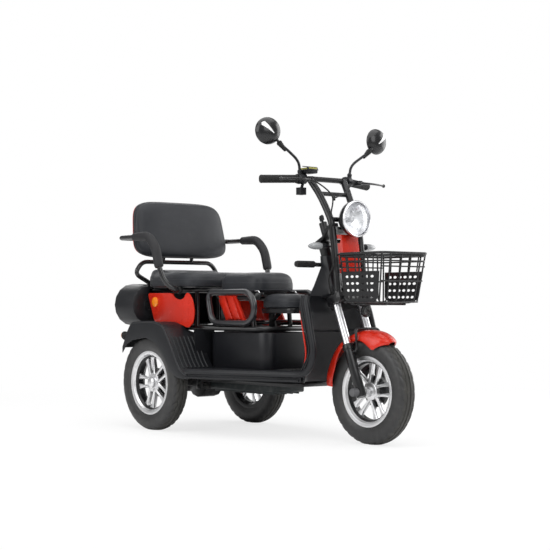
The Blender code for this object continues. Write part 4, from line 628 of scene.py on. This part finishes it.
# Handrail
# One 23 mm tube runs from a socket under the bench, up each side and round behind the backrest.
# A black arch and two uprights carry it, and grey foam sleeves cover the arm rests.
up_x = -211 - 14 - GAP - 7.8
arch = [(-215, -148, 623.3), (-215, -148, 643.3), (-219, -236, 690), (-222, -195, 745)]
arch += [flip(p, -1) for p in arch[::-1]]
tube(curve(arch, 30, 8), 10.3, 18)
posts = [(-222, 80, 742)] + [(up_x - LEAN * (z - BACK_Z), 80, z) for z in (775, 960)]
both(posts, 15, 5, 8.5, 14)
back = up_x - LEAN * (850 - BACK_Z) - 12
half = [(110, 216.6, 612), (110, 252, 612), (88, 290, 648), (70, 306, 712), (44, 306, 800), (-12, 306, 850),
        (back, 306, 850)]
rail = curve(half + [flip(p, -1) for p in half[::-1]], 30, 8)
tube(rail, 11.5, 20)
show("handrail_tubes", "chassis", surface("grey_paint", "gloss_black_tube", (0.009, 0.009, 0.010), 0.26,
                                          900, 0.00008, coat=0.5), "handrail")
foam = surface("rubber", "grey_foam", (0.016, 0.016, 0.018), 0.62, 1700, 0.0003, mottle=0.2)
arm = [p for p in rail[:len(rail) // 2] if p.x > -105 and p.z > 709] + [Vector((-116, 306, 850))]
sizes = [18] + [20.5] * (len(arm) - 2) + [18]
for side, s in (LEFT, RIGHT):
    tube([flip(p, s) for p in arm], sizes, 24)
    show("foam_sleeve_" + side, "chassis", foam, "armrest_pad_" + side, 50)
outward([(11.8, 0.0), (16, 0.0), (17, 3), (17, 10), (15, 13), (11.8, 13)], (110, 222.8, 612), closed=True)
show("handrail_sockets", "chassis", rubber)


# Saddle
# The rider's seat, foam in the same leathercloth over a steel pan that tips forward on its hinge.
# A bright catch at each front corner holds it down.
def saddle_plan(u, v):
    a, b = rounded(u, v, 4.5)
    return 373 + a * 132, b * (119 - 6 * a)


def saddle_height(u, v):
    dip = 3 * exp(-(v / 0.10) ** 2) * (1 - abs(u) ** 4)
    return (86 + 4.8 * max(0.0, -u) ** 2) * crown(u, v, 0.50, 6.0) - dip


cushion("saddle_pad", lambda a, b, h: (a, b, 599.9 + h), saddle_plan, saddle_height, "saddle",
        "saddle_cushion", 9.7)
dressed("saddle_pan", black_paint, 0.6)
chrome = surface("chrome", "bright_chrome", (0.84, 0.84, 0.86), 0.33, 300, 0.000002, mottle=0.02,
                 spread=0.04, metal=1.0)
both([(455, 101, 606.5), (500, 101, 606.5), (508, 101, 598)], 5, 4, 2.2, 10)
show("saddle_catches", "chassis", chrome)


# Child seat and handle
# A small padded seat on a post in front of the saddle, and behind the steering head a bent bar with
# two ribbed rubber grips for the child to hold.
def child_plan(u, v):
    a, b = rounded(u, v, 3.0)
    return 571 + a * 102.5, b * (75.5 - 6 * a)


def child_height(u, v):
    return 61 * crown(u, v, 0.48, 5.0) - 3 * exp(-(v / 0.12) ** 2)


cushion("child_pad", lambda a, b, h: (a, b, 533 + h), child_plan, child_height, "chassis",
        "child_seat_cushion", 14.9, 32)
dressed("child_seat_base", black_paint, 1.5)
line = [(832, 100, 710), (828, 75, 710), (804.7 - 8.5 - GAP, 40, 710)]
tube(curve(line + [flip(p, -1) for p in line[::-1]], 12, 6), 8.5, 16)
ribs = [(0, 0), (13, 0)]
for z in [6.2 * k for k in range(14)]:
    ribs += [(13.5, 1.5 + z), (13.5, 5 + z), (12.2, 5.6 + z), (12.2, 7 + z)]
for s in (-1, 1):
    turned(ribs + [(11.8, 94.5), (0, 96)], (830, s * 85, 710), (0.03, s, 0), 32)
show("child_grips", "chassis", rubber, "child_handle")

# Fork crown, stanchions and horn
# A forged black crown clamps the stem and the two chromed stanchions. The horn's black disc hangs
# from a strap in front of it.
RAKE = radians(21.5)
UP = Vector((-sin(RAKE), 0, cos(RAKE)))
AHEAD = Vector((cos(RAKE), 0, sin(RAKE)))
AXLE = Vector((1079, 0, 209))
axle_s = (209 - 550 - AHEAD.z * 46.5) / UP.z
HEAD = AXLE - AHEAD * 46.5 - UP * axle_s


def steer(ahead, y, up):
    """Point given along and across the steering axis."""
    return HEAD + AHEAD * ahead + Y * y + UP * up


def head(dx, y, dz):
    """Point given from the lower end of the steering axis."""
    return HEAD + Vector((dx, y, dz))


dressed("fork_crown", black_paint, 1, 50)
for s in (-1, 1):
    turned([(14, 0), (15.8, 0), (15.8, 165.5), (14, 165.5)], steer(46.5, s * 65, -187), UP, 48, closed=True)
show("chromed_stanchions", "steering", chrome)
turned([(0, 24.5), (4, 25), (6, 27.2), (8.5, 25.5), (12, 27.2), (15, 25.5), (18.5, 26.2), (19, 24.5)],
       head(135, 0, -28), X, 40)
show("horn_grille", "steering", rim_black)

# Handlebar
# Two bent black risers stand on the crown, tied by cross bars and a top plate, and carry the grip
# bar. The lock barrel sits in the plate.
RISER_LOW = head(70, 72, 2)
RISER_MID = head(50, 72, 191)
run = (RISER_MID - RISER_LOW).normalized()
boss_top = RISER_LOW + run * 50
BAR_IN = head(-95, 137, 503)
BAR_OUT = head(-147, 288, 498)
BAR_DIR = (BAR_OUT - BAR_IN).normalized()
riser = [boss_top + run * GAP, RISER_MID, head(32, 72, 318), head(9, 71, 363), head(-33, 80, 441),
         head(-79, 93, 504.5)]
both(riser, 30, 7, 13.8, 20)
both([BAR_IN - BAR_DIR * 62, BAR_OUT], 0, 1, 10.8, 18)
cross(head(-43, 78, 444), 8.8)
cross(head(12.5, 71, 338), 9.8)
for dz in (150, 250):
    cross(head(49 - 0.12 * (dz - 217) - 4 - GAP - 8.1, 71, dz), 7.8, 14)
cross(BAR_IN - BAR_DIR * 50, 10.8, 18)
show("handlebar_tubes", "steering", black_paint)
dressed("handlebar", black_paint, 0.6, 55)


# Grips
# Soft black rubber with fine rings and a flange at the inner end. The right one turns as the
# throttle.
def on_bar(t, s):
    """Point along the grip bar on one side."""
    return flip(BAR_IN + BAR_DIR * t, s)


long = (BAR_OUT - BAR_IN).length + 5 - 6
RINGS = 26
rings = [(11.1, 0), (18.5, 0), (19, 1.5), (19, 4), (17.8, 5.5)]
for z in [8 + (long - 16) * k / RINGS for k in range(RINGS)]:
    rings += [(15.5, z), (16.4, z + 1.4), (16.4, z + 3.6), (15.5, z + 5)]
rings += [(16.8, long - 7), (16.8, long - 3), (15, long), (0, long + 0.5)]
for name, s, node in (("ribbed_grip_left", 1, "left_grip"), ("ribbed_grip_right", -1, "throttle_grip")):
    turned(rings, on_bar(6, s), flip(BAR_DIR, s), 40)
    show(name, body_of(node), rubber, node)

# Control housings
# Moulded clamps with the lever perches, the mirror bosses and, on the left, the horn button and the
# signal switch. Stems of black steel with a ribbed rubber boot carry the mirrors.
MIRROR = head(-86, 298, 684)
neck_dir = Vector((0, 757, 653)).normalized()
neck = MIRROR - neck_dir * 58.5
PIVOT = head(-33, 140, 496)
BOSS = head(-89, 136, 528.5)
for side, s in (RIGHT, LEFT):
    dressed("controls_" + side, black_plastic, 0.5, 50)
    turned([(11, 0), (20.5, 0), (21.2, 2), (21.2, 15.5), (20.3, 16.5), (20.3, 17.5), (21.2, 18.5),
            (21.2, 32), (20.5, 34), (11, 34)], on_bar(-30, s), flip(BAR_DIR, s), 40, closed=True)
    stalk = [BOSS, BOSS + Vector((2, 6, 45)), BOSS + Vector((6, 75, 88)), neck - neck_dir * 20,
             neck - neck_dir * GAP * 4]
    tube(curve([flip(p, s) for p in stalk], 40, 8), 5.5, 14)
    turned([(8.8, 0), (9.2, 1), (9.2, 10), (8, 12), (10.4, 13), (10.4, 21), (7, 24.5), (5.4, 28)],
           flip(BOSS - Z * 14, s), Z, 6)
    show("mirror_stem_" + side, "steering", black_plastic)
    boot = [(5.4, -52)]
    for k in range(5):
        boot += [(7.4 + 1.1 * k, -49 + 9 * k), (6.6 + 1.1 * k, -42 + 9 * k)]
    turned(boot + [(7, -3)], flip(neck - neck_dir * 2, s), flip(neck_dir, s), 24)
    show("mirror_boot_" + side, "steering", rubber)

# Horn button and signal switch
# A red push button and a black slide on the left housing.
rear = Vector((-BAR_DIR.y, BAR_DIR.x, 0)).normalized()
up_rear = (rear + Vector((0, 0, 0.9))).normalized()
turned([(0, -6), (4, -6), (4, 0.5), (5.6, 0.5), (5.6, 7), (4.8, 8.4), (3, 8.8), (0, 8.6)],
       on_bar(-21, 1) + rear * 23.5, rear, 32)
show("horn_push", "horn", red_lens, "horn_button")
turned([(0, 0), (4.5, 0), (4.5, 4), (3.4, 4.8), (3.6, 6.6), (0, 7.2)],
       on_bar(-10, 1) + up_rear * (22.5 + GAP), up_rear, 28)
show("signal_slide", "turn", black_plastic, "turn_switch")

# Brake levers
# Die-cast alloy levers coated black, thick at the pivot and drawn down to a ball end.
dark_alloy = surface("alloy", "black_lever", (0.010, 0.010, 0.011), 0.30, 700, 0.0001, metal=0.2, coat=0.3)
for side, s in (RIGHT, LEFT):
    pin = flip(PIVOT, s)
    turned([(3.3, -6), (7.4, -6), (8, -5.2), (8, 5.2), (7.4, 6), (3.3, 6)], pin, Z, 32, closed=True)
    line = [(1, 5.5, 0), (9, 30, 0), (8, 85, -1), (-2, 140, -4)]
    line = curve([pin + flip(p, s) for p in line], 30, 8)
    tube(line, [6.2 - 1.6 * k / (len(line) - 1) for k in range(len(line))], 16, flat=0.8)
    turned([(0, -7.2), (3.8, -6), (6.8, -3), (7.6, 0), (6.8, 3), (3.8, 6), (0, 7.2)], line[-1], (0, s, 0), 24)
    show("brake_lever_" + side + "_shown", "brake_" + side, dark_alloy, "brake_lever_" + side)

# Dash display
# A small hooded case on the right clamp, with a grey liquid-crystal window showing a plain bar gauge.
dressed("dash_display", black_plastic, 0.8)
glass = surface("black_plastic", "display_glass", (0.42, 0.40, 0.10), 0.12, 400, 0.00001, coat=0.8)
ink = surface("black_plastic", "display_bars", (0.015, 0.02, 0.015), 0.15, 400, 0.00004)
dash_low = on_bar(-30, -1).z + 20.5 + GAP - HEAD.z
slab(head(-101, -121, dash_low + 15), head(-49, -79, dash_low + 22.5))
show("display_window", "steering", glass)
for k in range(5):
    y = -116 + 7.5 * k
    slab(head(-93, y, dash_low + 22.4), head(-81 + 1.5 * k, y + 5, dash_low + 22.9))
show("display_gauge", "steering", ink)

# Mirrors
# Round black shells with a second-surface mirror glass in each, turned a little towards the rider.
# A tapered silver strip is let into the back of each shell.
mirror_glass = surface("chrome", "mirror_glass", (0.82, 0.84, 0.86), 0.03, 200, 0.00001, mottle=0.01,
                       spread=0.01, metal=1.0)
gloss_black = surface("black_plastic", "gloss_black_shell", (0.008, 0.008, 0.009), 0.30, 500, 0.00005,
                      coat=0.3)
silver = surface("chrome", "silver_inlay", (0.80, 0.80, 0.80), 0.35, 500, 0.00002, mottle=0.04)
dome = [(0, 0), (14, 1), (28, 4.5), (40, 11), (48, 18.5), (53, 27), (54, 31)]
for side, s in (RIGHT, LEFT):
    at = flip(neck, s)
    mid = flip(MIRROR, s)
    yaw = radians(14 if s < 0 else 2)
    back = Vector((cos(yaw), s * sin(yaw), 0))
    face = mid + back * 20
    stub = (mid - at).normalized() * 8
    body = "mirror_" + side
    turned(dome + [(54, 35), (52.5, 36.2), (51, 34.5), (0, 34)], face, -back, 72)
    tube([at, at + stub, at + stub * 2], [5.8, 6.4, 4], 20)
    show("mirror_shell_" + side, body, gloss_black, "mirror_head_" + side, 45)
    turned([(0, 34.6), (50, 35), (50.8, 34.6)], face, -back, 72)
    show("mirror_glass_" + side, body, mirror_glass)
    away = flip(neck_dir, s)
    away = (away - back * away.dot(back)).normalized()
    across = back.cross(away)
    rows = []
    for k in range(13):
        r = -18 + 63 * k / 12
        (ra, za), (rb, zb) = next(two for two in zip(dome, dome[1:]) if two[1][0] >= abs(r))
        depth = za + (zb - za) * (abs(r) - ra) / (rb - ra)
        wide = across * (1.4 + 9.4 * k / 12 if k < 12 else 1.4)
        here = face - back * (depth - 1.2) + away * r
        under = face - back * (depth + 1.5) + away * r
        rows.append([bm.verts.new(p) for p in (here - wide, here + wide, under + wide, under - wide)])
    skin(rows)
    show("mirror_inlay_" + side, body, silver)

# Headlamp
# A black bucket with a bright rim. Behind the domed clear lens a polished reflector faces forward
# with a bulb at its centre.
lamp_back = head(22.5 + GAP, 0, 338)
turned([(0, 0), (18, 1.2), (32, 5), (46, 16), (56, 29), (66, 44), (71.5, 57), (72.2, 72), (70, 72.5),
        (69, 60), (50, 31), (0, 8)], lamp_back, X, 72)
show("lamp_bucket", "steering", gloss_black, "headlamp_bucket", 45)
turned([(66.8, 70), (72, 70), (73.2, 74.5), (72.5, 80), (70, 83), (66.8, 81.5)], lamp_back, X, 80,
       closed=True)
show("lamp_rim", "steering", chrome)
turned([(65.5, 70), (56, 52), (44, 37), (30, 26), (15, 20), (0, 19)], lamp_back, X, 80)
show("lamp_reflector", "steering", surface("chrome", "lamp_bowl", (0.86, 0.86, 0.88), 0.30, 300, 0.000002,
                                           mottle=0.02, spread=0.04, metal=1.0))
turned([(0, 20), (10, 21), (10, 34), (12.5, 36), (14, 44), (10, 53.5), (0, 56)], lamp_back, X, 40)
show("lamp_bulb", "steering", surface("clear_lens", "frosted_bulb", (0.80, 0.80, 0.82), 0.25, 300, 0.00003))
BULGE = 1.25
clear = surface("clear_lens", "clear_lens", (0.98, 0.99, 1.0), 0.02, 250, 0.000001, mottle=0.01,
                spread=0.01, Transmission_Weight=1.0, IOR=1.46)
outer = [(65.2 * sin(a) / sin(BULGE), 73.5 + 18.5 * (1 - (1 - cos(a)) / (1 - cos(BULGE))))
         for a in [BULGE * k / 14 for k in range(15)]]
inner = [(r * 0.985, z - 2.8) for r, z in outer]
turned(outer + inner[::-1], lamp_back, X, 80)
show("lamp_lens", "steering", clear, "headlamp_lens", 50)


# Front panel and signals
# A creased red panel clipped to the cross bars between the risers. Clear flattened teardrop signals
# stand out on one bar behind it.
def squash(beyond):
    """Flattens what lies further out than a distance to an oval, about the signals' height."""
    for v in bm.verts:
        if abs(v.co.y) > beyond:
            v.co.z = signal.z + (v.co.z - signal.z) * 0.66


dressed("column_cover_front", red_paint, 1, 18, 3, push=(14, 0, 0), wider=1.22)
signal = head(49 - 0.12 * (230 - 217) - 28 - GAP * 2 - 5.5, 113, 230)
cross(signal - Y, 5.5)
outward([(5.6, -30), (8.5, -28), (8.5, -6), (12, -2), (20.5, 6), (20.5, 9), (0, 9)], signal, 36)
squash(110)
show("signal_bar", "steering", black_plastic)
outward([(0, 9.5), (20.5, 9.5), (21.9, 16), (22, 28), (20.3, 42), (16.5, 53), (11, 60.5), (5, 65), (0, 66)],
        signal, 48)
squash(0)
show("signal_lenses", "steering", surface("clear_lens", "signal_lens", (0.40, 0.41, 0.42), 0.08, 420,
                                          0.0002, coat=0.6, Transmission_Weight=0.35, IOR=1.46),
     "front_turn_signals", 50)

# Ignition key
# A black-headed key in the lock, with a small fob hanging from its ring.
dressed("ignition_key", (black_plastic[0], "steel_key"), 0.4)


# Front basket
# Welded 4 to 8 mm steel wire in black: a thick rim, a second ring below it, bars down the front and
# back, and a pressed plate with four rows of oval holes on each side.
def basket(t):
    """Back x, front x, half width and height from the rim at 0 to the floor at 1."""
    return BASKET.x + 14 * t, BASKET.x + 244 - 32 * t, BASKET.y - 16 * t, BASKET.z - 190 * t


BASKET = Vector((1017, 124, 745))
for t, radius, grow in ((0.0, 5.4, 0), (0.052, 4.2, -3), (0.158, 3.1, 0), (0.985, 3, 1)):
    a, b, w, z = basket(t)
    w += grow
    ring = [(a - grow, -w, z), (b + grow, -w, z), (b + grow, w, z), (a - grow, w, z)]
    tube(curve(ring, 24, 8, closed=True), radius, 12, closed=True)
top_a, top_b, top_w, top_z = basket(0.0)
low_a, low_b, low_w, low_z = basket(1.0)
for f in (-0.62, -0.13, 0.28, 0.72):
    u_wire = [(top_b - 0.8, top_w * f, top_z), (low_b - 0.8, low_w * f, low_z),
              (low_a + 0.8, low_w * f, low_z), (top_a + 0.8, top_w * f, top_z)]
    tube(curve(u_wire, 30, 6), 3.2, 10)
for xt, xl in ((top_a + 6.5, low_a + 6.5), (top_b - 6.5, low_b - 6.5)):
    both([(xt, top_w - 6.5, top_z), (xl, low_w - 6.5, low_z)], 0, 1, 3.2, 12)
a, b, w, z = basket(0.36)
for g in (0.18, 0.39, 0.60, 0.81):
    both([(top_a + g * (top_b - top_a), top_w, top_z), (a + g * (b - a), w, z)], 0, 1, 2.8, 10)
for t in (0.27, 0.56):
    a, b, w, z = basket(t)
    for x in (b + 0.6, a - 0.6):
        cross(Vector((x, w * 0.95, z)), 2.8, 10)
for k in range(5):
    cross(Vector((low_a + (low_b - low_a) * (k + 0.7) / 5.4, low_w, low_z + 1.5)), 2.2, 10)
arm = [steer(99.7, 72, -6), steer(118, 72, -6), (1034, 70, 550.6), (low_b - 20, 50, 549.6)]
both(arm, 14, 5, 4.8, 12)
hook = BASKET.z - HEAD.z
both([head(70 - 0.1058 * (hook - 2) + 14.5, 72.2, hook), (BASKET.x + 1, 72.2, BASKET.z)], 0, 1, 4, 12)
show("basket_wires", "steering", black_paint, "basket")
PLATE_TOP, PLATE_LOW, TURN_IN, THIN = 0.37, 0.985, 0.86, 0.9
COLS, ROWS, SIDES = 6, 4, 16


def on_plate(u, t):
    """Point of a side plate, drawn in at the lower corners."""
    a, b, w, z = basket(t)
    tuck = 10 + 30 * max(0.0, (t - TURN_IN) / (PLATE_LOW - TURN_IN)) ** 2.4
    return Vector((a + tuck + (b - a - 2 * tuck) * u, w, z))


us = [0.0] + [0.07 + 0.82 * k / COLS for k in range(COLS + 1)] + [1.0]
ts = [PLATE_TOP] + [0.40 + 0.555 * k / ROWS for k in range(ROWS + 1)] + [PLATE_LOW]


def cell(i, j, s, out, hole):
    """The rim of one cell of a plate, or of its oval hole, on one face."""
    line = []
    for a in [2 * pi * k / SIDES for k in range(SIDES)]:
        c, d = cos(a), sin(a)
        wide, high = (0.34, 0.19) if hole else (0.5 / max(abs(c), abs(d)),) * 2
        u = us[i] + (us[i + 1] - us[i]) * (0.5 + c * wide)
        t = ts[j] + (ts[j + 1] - ts[j]) * (0.5 + d * high)
        line.append(bm.verts.new(flip(on_plate(u, t) + Y * out, s)))
    return line


corner = [TURN_IN + (PLATE_LOW - TURN_IN) * k / 6 for k in range(7)]
hem = [(0, PLATE_TOP), (1, PLATE_TOP)] + [(1, t) for t in corner] + [(0, t) for t in corner[::-1]]
for s in (-1, 1):
    for i in range(COLS + 2):
        for j in range(ROWS + 2):
            if 0 < i <= COLS and 0 < j <= ROWS:
                faces = ((-THIN, False), (-THIN, True), (THIN, True), (THIN, False))
                skin([cell(i, j, s, out, hole) for out, hole in faces], False)
            else:
                for out in (-THIN, THIN):
                    bm.faces.new(cell(i, j, s, out, False))
    tube([flip(on_plate(u, t), s) for u, t in hem], 2.2, 10, closed=True)
bmesh.ops.remove_doubles(bm, verts=bm.verts, dist=0.05)
show("basket_plates", "steering", black_paint)


# Control cables
# Two black housings run from the levers to a clip and down the right riser in one slack loop.
def cable_start(s, reach):
    """The housing's way out of a lever, down to the middle."""
    points = [Vector((-14.5, -10.3, 0)), Vector((-14.5, -18.3, 0)), Vector((-2, -45.3, -6))]
    return [flip(PIVOT + p, s) for p in points] + [Vector((PIVOT.x + reach, s * 55 - 20, PIVOT.z - 45))]


meet = head(30, -60, 420)
main = cable_start(-1, 50) + [meet, head(46, -94, 350), head(52, -92.5, 240), head(62, -91.5, 150),
                              head(38, -98, 108), head(24, -80, 72), steer(30, -62, 26.3),
                              steer(30, -62, 14.3)]
tube(curve(main, 50, 8), 3, 12)
tube(curve(cable_start(1, 36) + [meet], 50, 8), 2.7, 12)
clip = (main[5] - main[3]).normalized() * 7
tube([meet - clip, meet + clip], 6.2, 16)
show("cable_housings", "steering", rubber, "control_cables")

# Fork legs and stay
# Black alloy lower legs with a collar and dust seal at the top, which slide on the stanchions. A
# thin hoop ties them over the fender.
stay_a = radians(58 + 118 * 4 / 12)
stay = AXLE + Vector((cos(stay_a), 0, sin(stay_a))) * (240.5 + 5.2 + GAP * 2)
hoop = [steer(64.7, 65, -226), steer(90.5, 66, -226), stay + Vector((10, 66.5, -22)),
        stay + Vector((0, 60, 0))]
leg = [(0, axle_s - 20), (18, axle_s - 20), (19.8, axle_s - 17), (19.8, -212), (22.2, -210), (22.5, -206),
       (22.5, -195), (21.2, -193), (21.2, -191), (19, -188), (16.3, -188), (16.3, -235)]
tube(curve(hoop + [flip(p, -1) for p in hoop[::-1]], 14, 6), 5.2, 14)
for s in (-1, 1):
    turned(leg, steer(46.5, s * 65, 0), UP, 40)
show("fork_legs", "fork", black_paint, "fork_lowers", 45)

# Front fender
# Thin gloss red moulding close over the tyre, with a rounded ridge and a drawn-in waist where the
# legs pass.
rows = []
STEPS = 60
for k in range(STEPS + 1):
    deg = 59.5 + 116.5 * k / STEPS
    a = radians(deg)
    near = max(0.0, 1 - abs(deg - 111.5) / 16)
    wide = 57 - 9.5 * min(1.0, near * 2)
    tip = 12 * max(0.0, 1 - k / 10) ** 2
    nose = min(1.0, (k + 0.4) / 9)
    ends = (1 - (1 - nose) ** 2) ** 0.5 * (0.90 + 0.10 * min(1.0, (STEPS - k) / 5))
    depth = 34 + 30 * exp(-((k - 7) / 8) ** 2) + 26 * min(1.0, max(0.0, (k - 34) / 14))
    depth *= min(1.0, 0.25 + 0.75 * k / 6)
    section = []
    for j in range(25):
        f = j / 12 - 1
        y = wide * sin(f * pi / 2) * ends
        section.append((240 - tip - depth * (1 - cos(f * pi / 2)) ** 1.25, y))
    under = [(r - 2.6, y * 0.955) for r, y in section[::-1]]
    rows.append([bm.verts.new(AXLE + Vector((r * cos(a), y, r * sin(a)))) for r, y in section + under])
skin(rows)
show("fender_skin", "fork", red_paint, "front_fender", 55)
alloy = surface("alloy", "cast_alloy", (0.80, 0.80, 0.81), 0.33, 500, 0.00005, mottle=0.06, metal=0.95,
                coat=0.2)
dressed("front_axle", alloy, 0.5, 50)
outward([(0.1, 0), (15, 0), (15.6, 1), (15.6, 24), (14, 27.5), (0.1, 29)], AXLE + Y * 83.5)
show("axle_caps", "fork", surface("alloy", "grey_cap", (0.10, 0.10, 0.105), 0.42, 800, 0.0001))


# Wheels
# Ten-inch cast alloy wheels with five pairs of spokes and a machined lip; the rear ones have a domed
# hub and five bolts. The tyres have slanted grooves beside a centre groove and stand flat; their tread
# is a paler rubber, painted paler as a painted sheen, with a little dust.
def tyre(name, node, centre, axis, body):
    """A tyre with a block tread, flat where it stands."""
    half = [(127.3, 19), (127.3, 27.2), (140, 32.5), (150, 36.8), (160, 39.2), (170, 40), (179, 39.8),
            (186, 38.8), (191.5, 37.2), (196, 34.8), (199.8, 31.6), (203, 27.2), (205.2, 22.6), (206.7, 18),
            (203.6, 15.5), (207.6, 13), (208.8, 4.2), (205, 2.4)]
    profile = half + [(r, -a) for r, a in half[::-1]] + [(188, -28), (188, 28)]
    rows = turned(profile, centre, axis, 180, closed=True)
    for n, row in enumerate(rows[:-2]):
        m = min(n, 2 * len(half) - 1 - n)
        for k, v in enumerate(row):
            grooved = (k + (3 if m < n else 0) - m) % 6 in (0, 1)
            if 8 <= m <= 13 and grooved:
                radial = Vector((v.co.x - centre[0], 0, v.co.z - centre[2]))
                v.co -= radial.normalized() * (3.4 if m > 9 else 1.8)
            v.co.z = max(v.co.z, -PLACE.z + 0.2)
    # Faces of the tread take the paler rubber, a painted sheen of light grazing the tread.
    for face in bm.faces:
        arm = face.calc_center_median() - Vector(centre)
        face.material_index = 1 if abs(arm.y) < 27.2 and hypot(arm.x, arm.z) > 196 else 0
    show(name, body, tyre_rubber, node, 30).data.materials.append(tread_painted_sheen[0])


def blunt(x):
    """Turns a circle's sine into that of a rounded square."""
    return copysign(abs(x) ** 0.38, x)


def rim(name, node, centre, axis, hub, body, bolts, phase, root):
    """A cast wheel: barrel with lips, hub and pairs of spokes; the barrel's inside is painted black as
    painted shade.
    """
    lip = [(139.5, 31), (138.5, 29.2), (129, 28), (127.2, 27), (126.8, 19), (115, 11)]
    inside = [(110.5, 12), (118, 21.5), (121.5, 27), (123.5, 30.5), (130, 32.2), (138.5, 32.2)]
    profile = lip + [(r, -a) for r, a in lip[::-1] + inside[::-1]] + inside
    turned(profile, centre, axis, 96, closed=True)
    turned(hub, centre, axis, 64, closed=hub[0][0] > 0)
    d = Vector(axis)
    # The drum and the faces past 10.5 mm on the hub's inner side take the black paint; the barrel's inside
    # takes it too, as painted shade within the wheel.
    for face in bm.faces:
        arm = face.calc_center_median() - Vector(centre)
        along = arm.dot(d)
        radius = (arm - d * along).length
        barrel = 100 < radius < 126.2 and along < 20
        if barrel or along < -10.5 or 50 < radius < 90:
            face.material_index = 1
    u = Z.cross(d)
    v = d.cross(u)
    section = [(blunt(cos(b)), blunt(sin(b))) for b in [pi * n / 8 for n in range(16)]]
    for k in range(5):
        for part in (-1, 1):
            rows = []
            for f in [q / 8 for q in range(9)]:
                r = root + (114 - root) * f
                a = radians(phase + 72 * k) + asin((17 + 5 * f) / r) * part
                wide = 4.6 + 4 * f + 4.5 * exp(-f * 9) + 7.5 * exp(-(1 - f) * 8)
                thick = 10.2 - 1.8 * f
                across = v * cos(a) - u * sin(a)
                middle = Vector(centre) + (u * cos(a) + v * sin(a)) * r
                middle += d * (1 - 3 * sin(pi * f))
                rows.append([bm.verts.new(middle + across * wide * c + d * thick * e) for c, e in section])
            skin(rows)
    for k in range(bolts):
        a = radians(phase + 36 + 72 * k)
        turned([(0.1, 10.8), (5.2, 10.8), (5.2, 16), (4, 17.5), (0.1, 18)],
               Vector(centre) + (u * cos(a) + v * sin(a)) * 32.5, d, 6)
    show(name, body, alloy, node, 35).data.materials.append(black_paint[0])


tyre_rubber = surface("tyre", "tyre_rubber", (0.016, 0.016, 0.0165), 0.46, 1300, 0.0002, spread=0.14,
                      dust=0.05, Specular_IOR_Level=0.6)
# Paler rubber for the tread: its paler colour is a painted sheen, and its patches are dust.
tread_painted_sheen = surface("tyre", "dusty_tread_painted_sheen", (0.040, 0.039, 0.036), 0.52, 900, 0.0003, mottle=0.3,
                       spread=0.14, dust=0.08)
front_hub = [(8.6, 30), (19.5, 30), (20, 29), (20.5, 17), (33, 14), (34.5, 12), (34.5, -9), (60, -13),
             (62, -15), (62, -30), (8.6, -30)]
rear_hub = [(0, 30), (10, 29.3), (18, 27), (22.5, 23.5), (24, 17.5), (24.5, 12), (40, 11), (41.5, 9.5),
            (41.5, -11), (60, -14), (62, -16), (62, -40), (0, -40)]
rim("cast_wheel_front", "front_rim", AXLE, -Y, front_hub, "front_wheel", 0, 78.5, 32)
tyre("tread_tyre_front", "front_tyre", AXLE, Y, "front_wheel")
for side, s in (RIGHT, LEFT):
    centre = (0, s * 278, 209)
    rim("cast_wheel_" + side, "rear_rim_" + side, centre, Y * s, rear_hub, "rear_wheel_" + side, 5, 36, 38)
    tyre("tread_tyre_" + side, "rear_tyre_" + side, centre, Y * s, "rear_wheel_" + side)

# Rear axle and shock
# A cast gear case with the motor bolted on, brake plates at the wheels, and one damper with a
# chromed rod between the axle and the frame.
dressed("rear_axle", surface("black_paint", "cast_axle_black", (0.010, 0.010, 0.011), 0.48, 500, 0.0003,
                             dust=0.15), 1.5, 50)
dressed("shock_body", black_paint, 0.6, 50)
dressed("shock_rod", chrome, 0.3, 50)
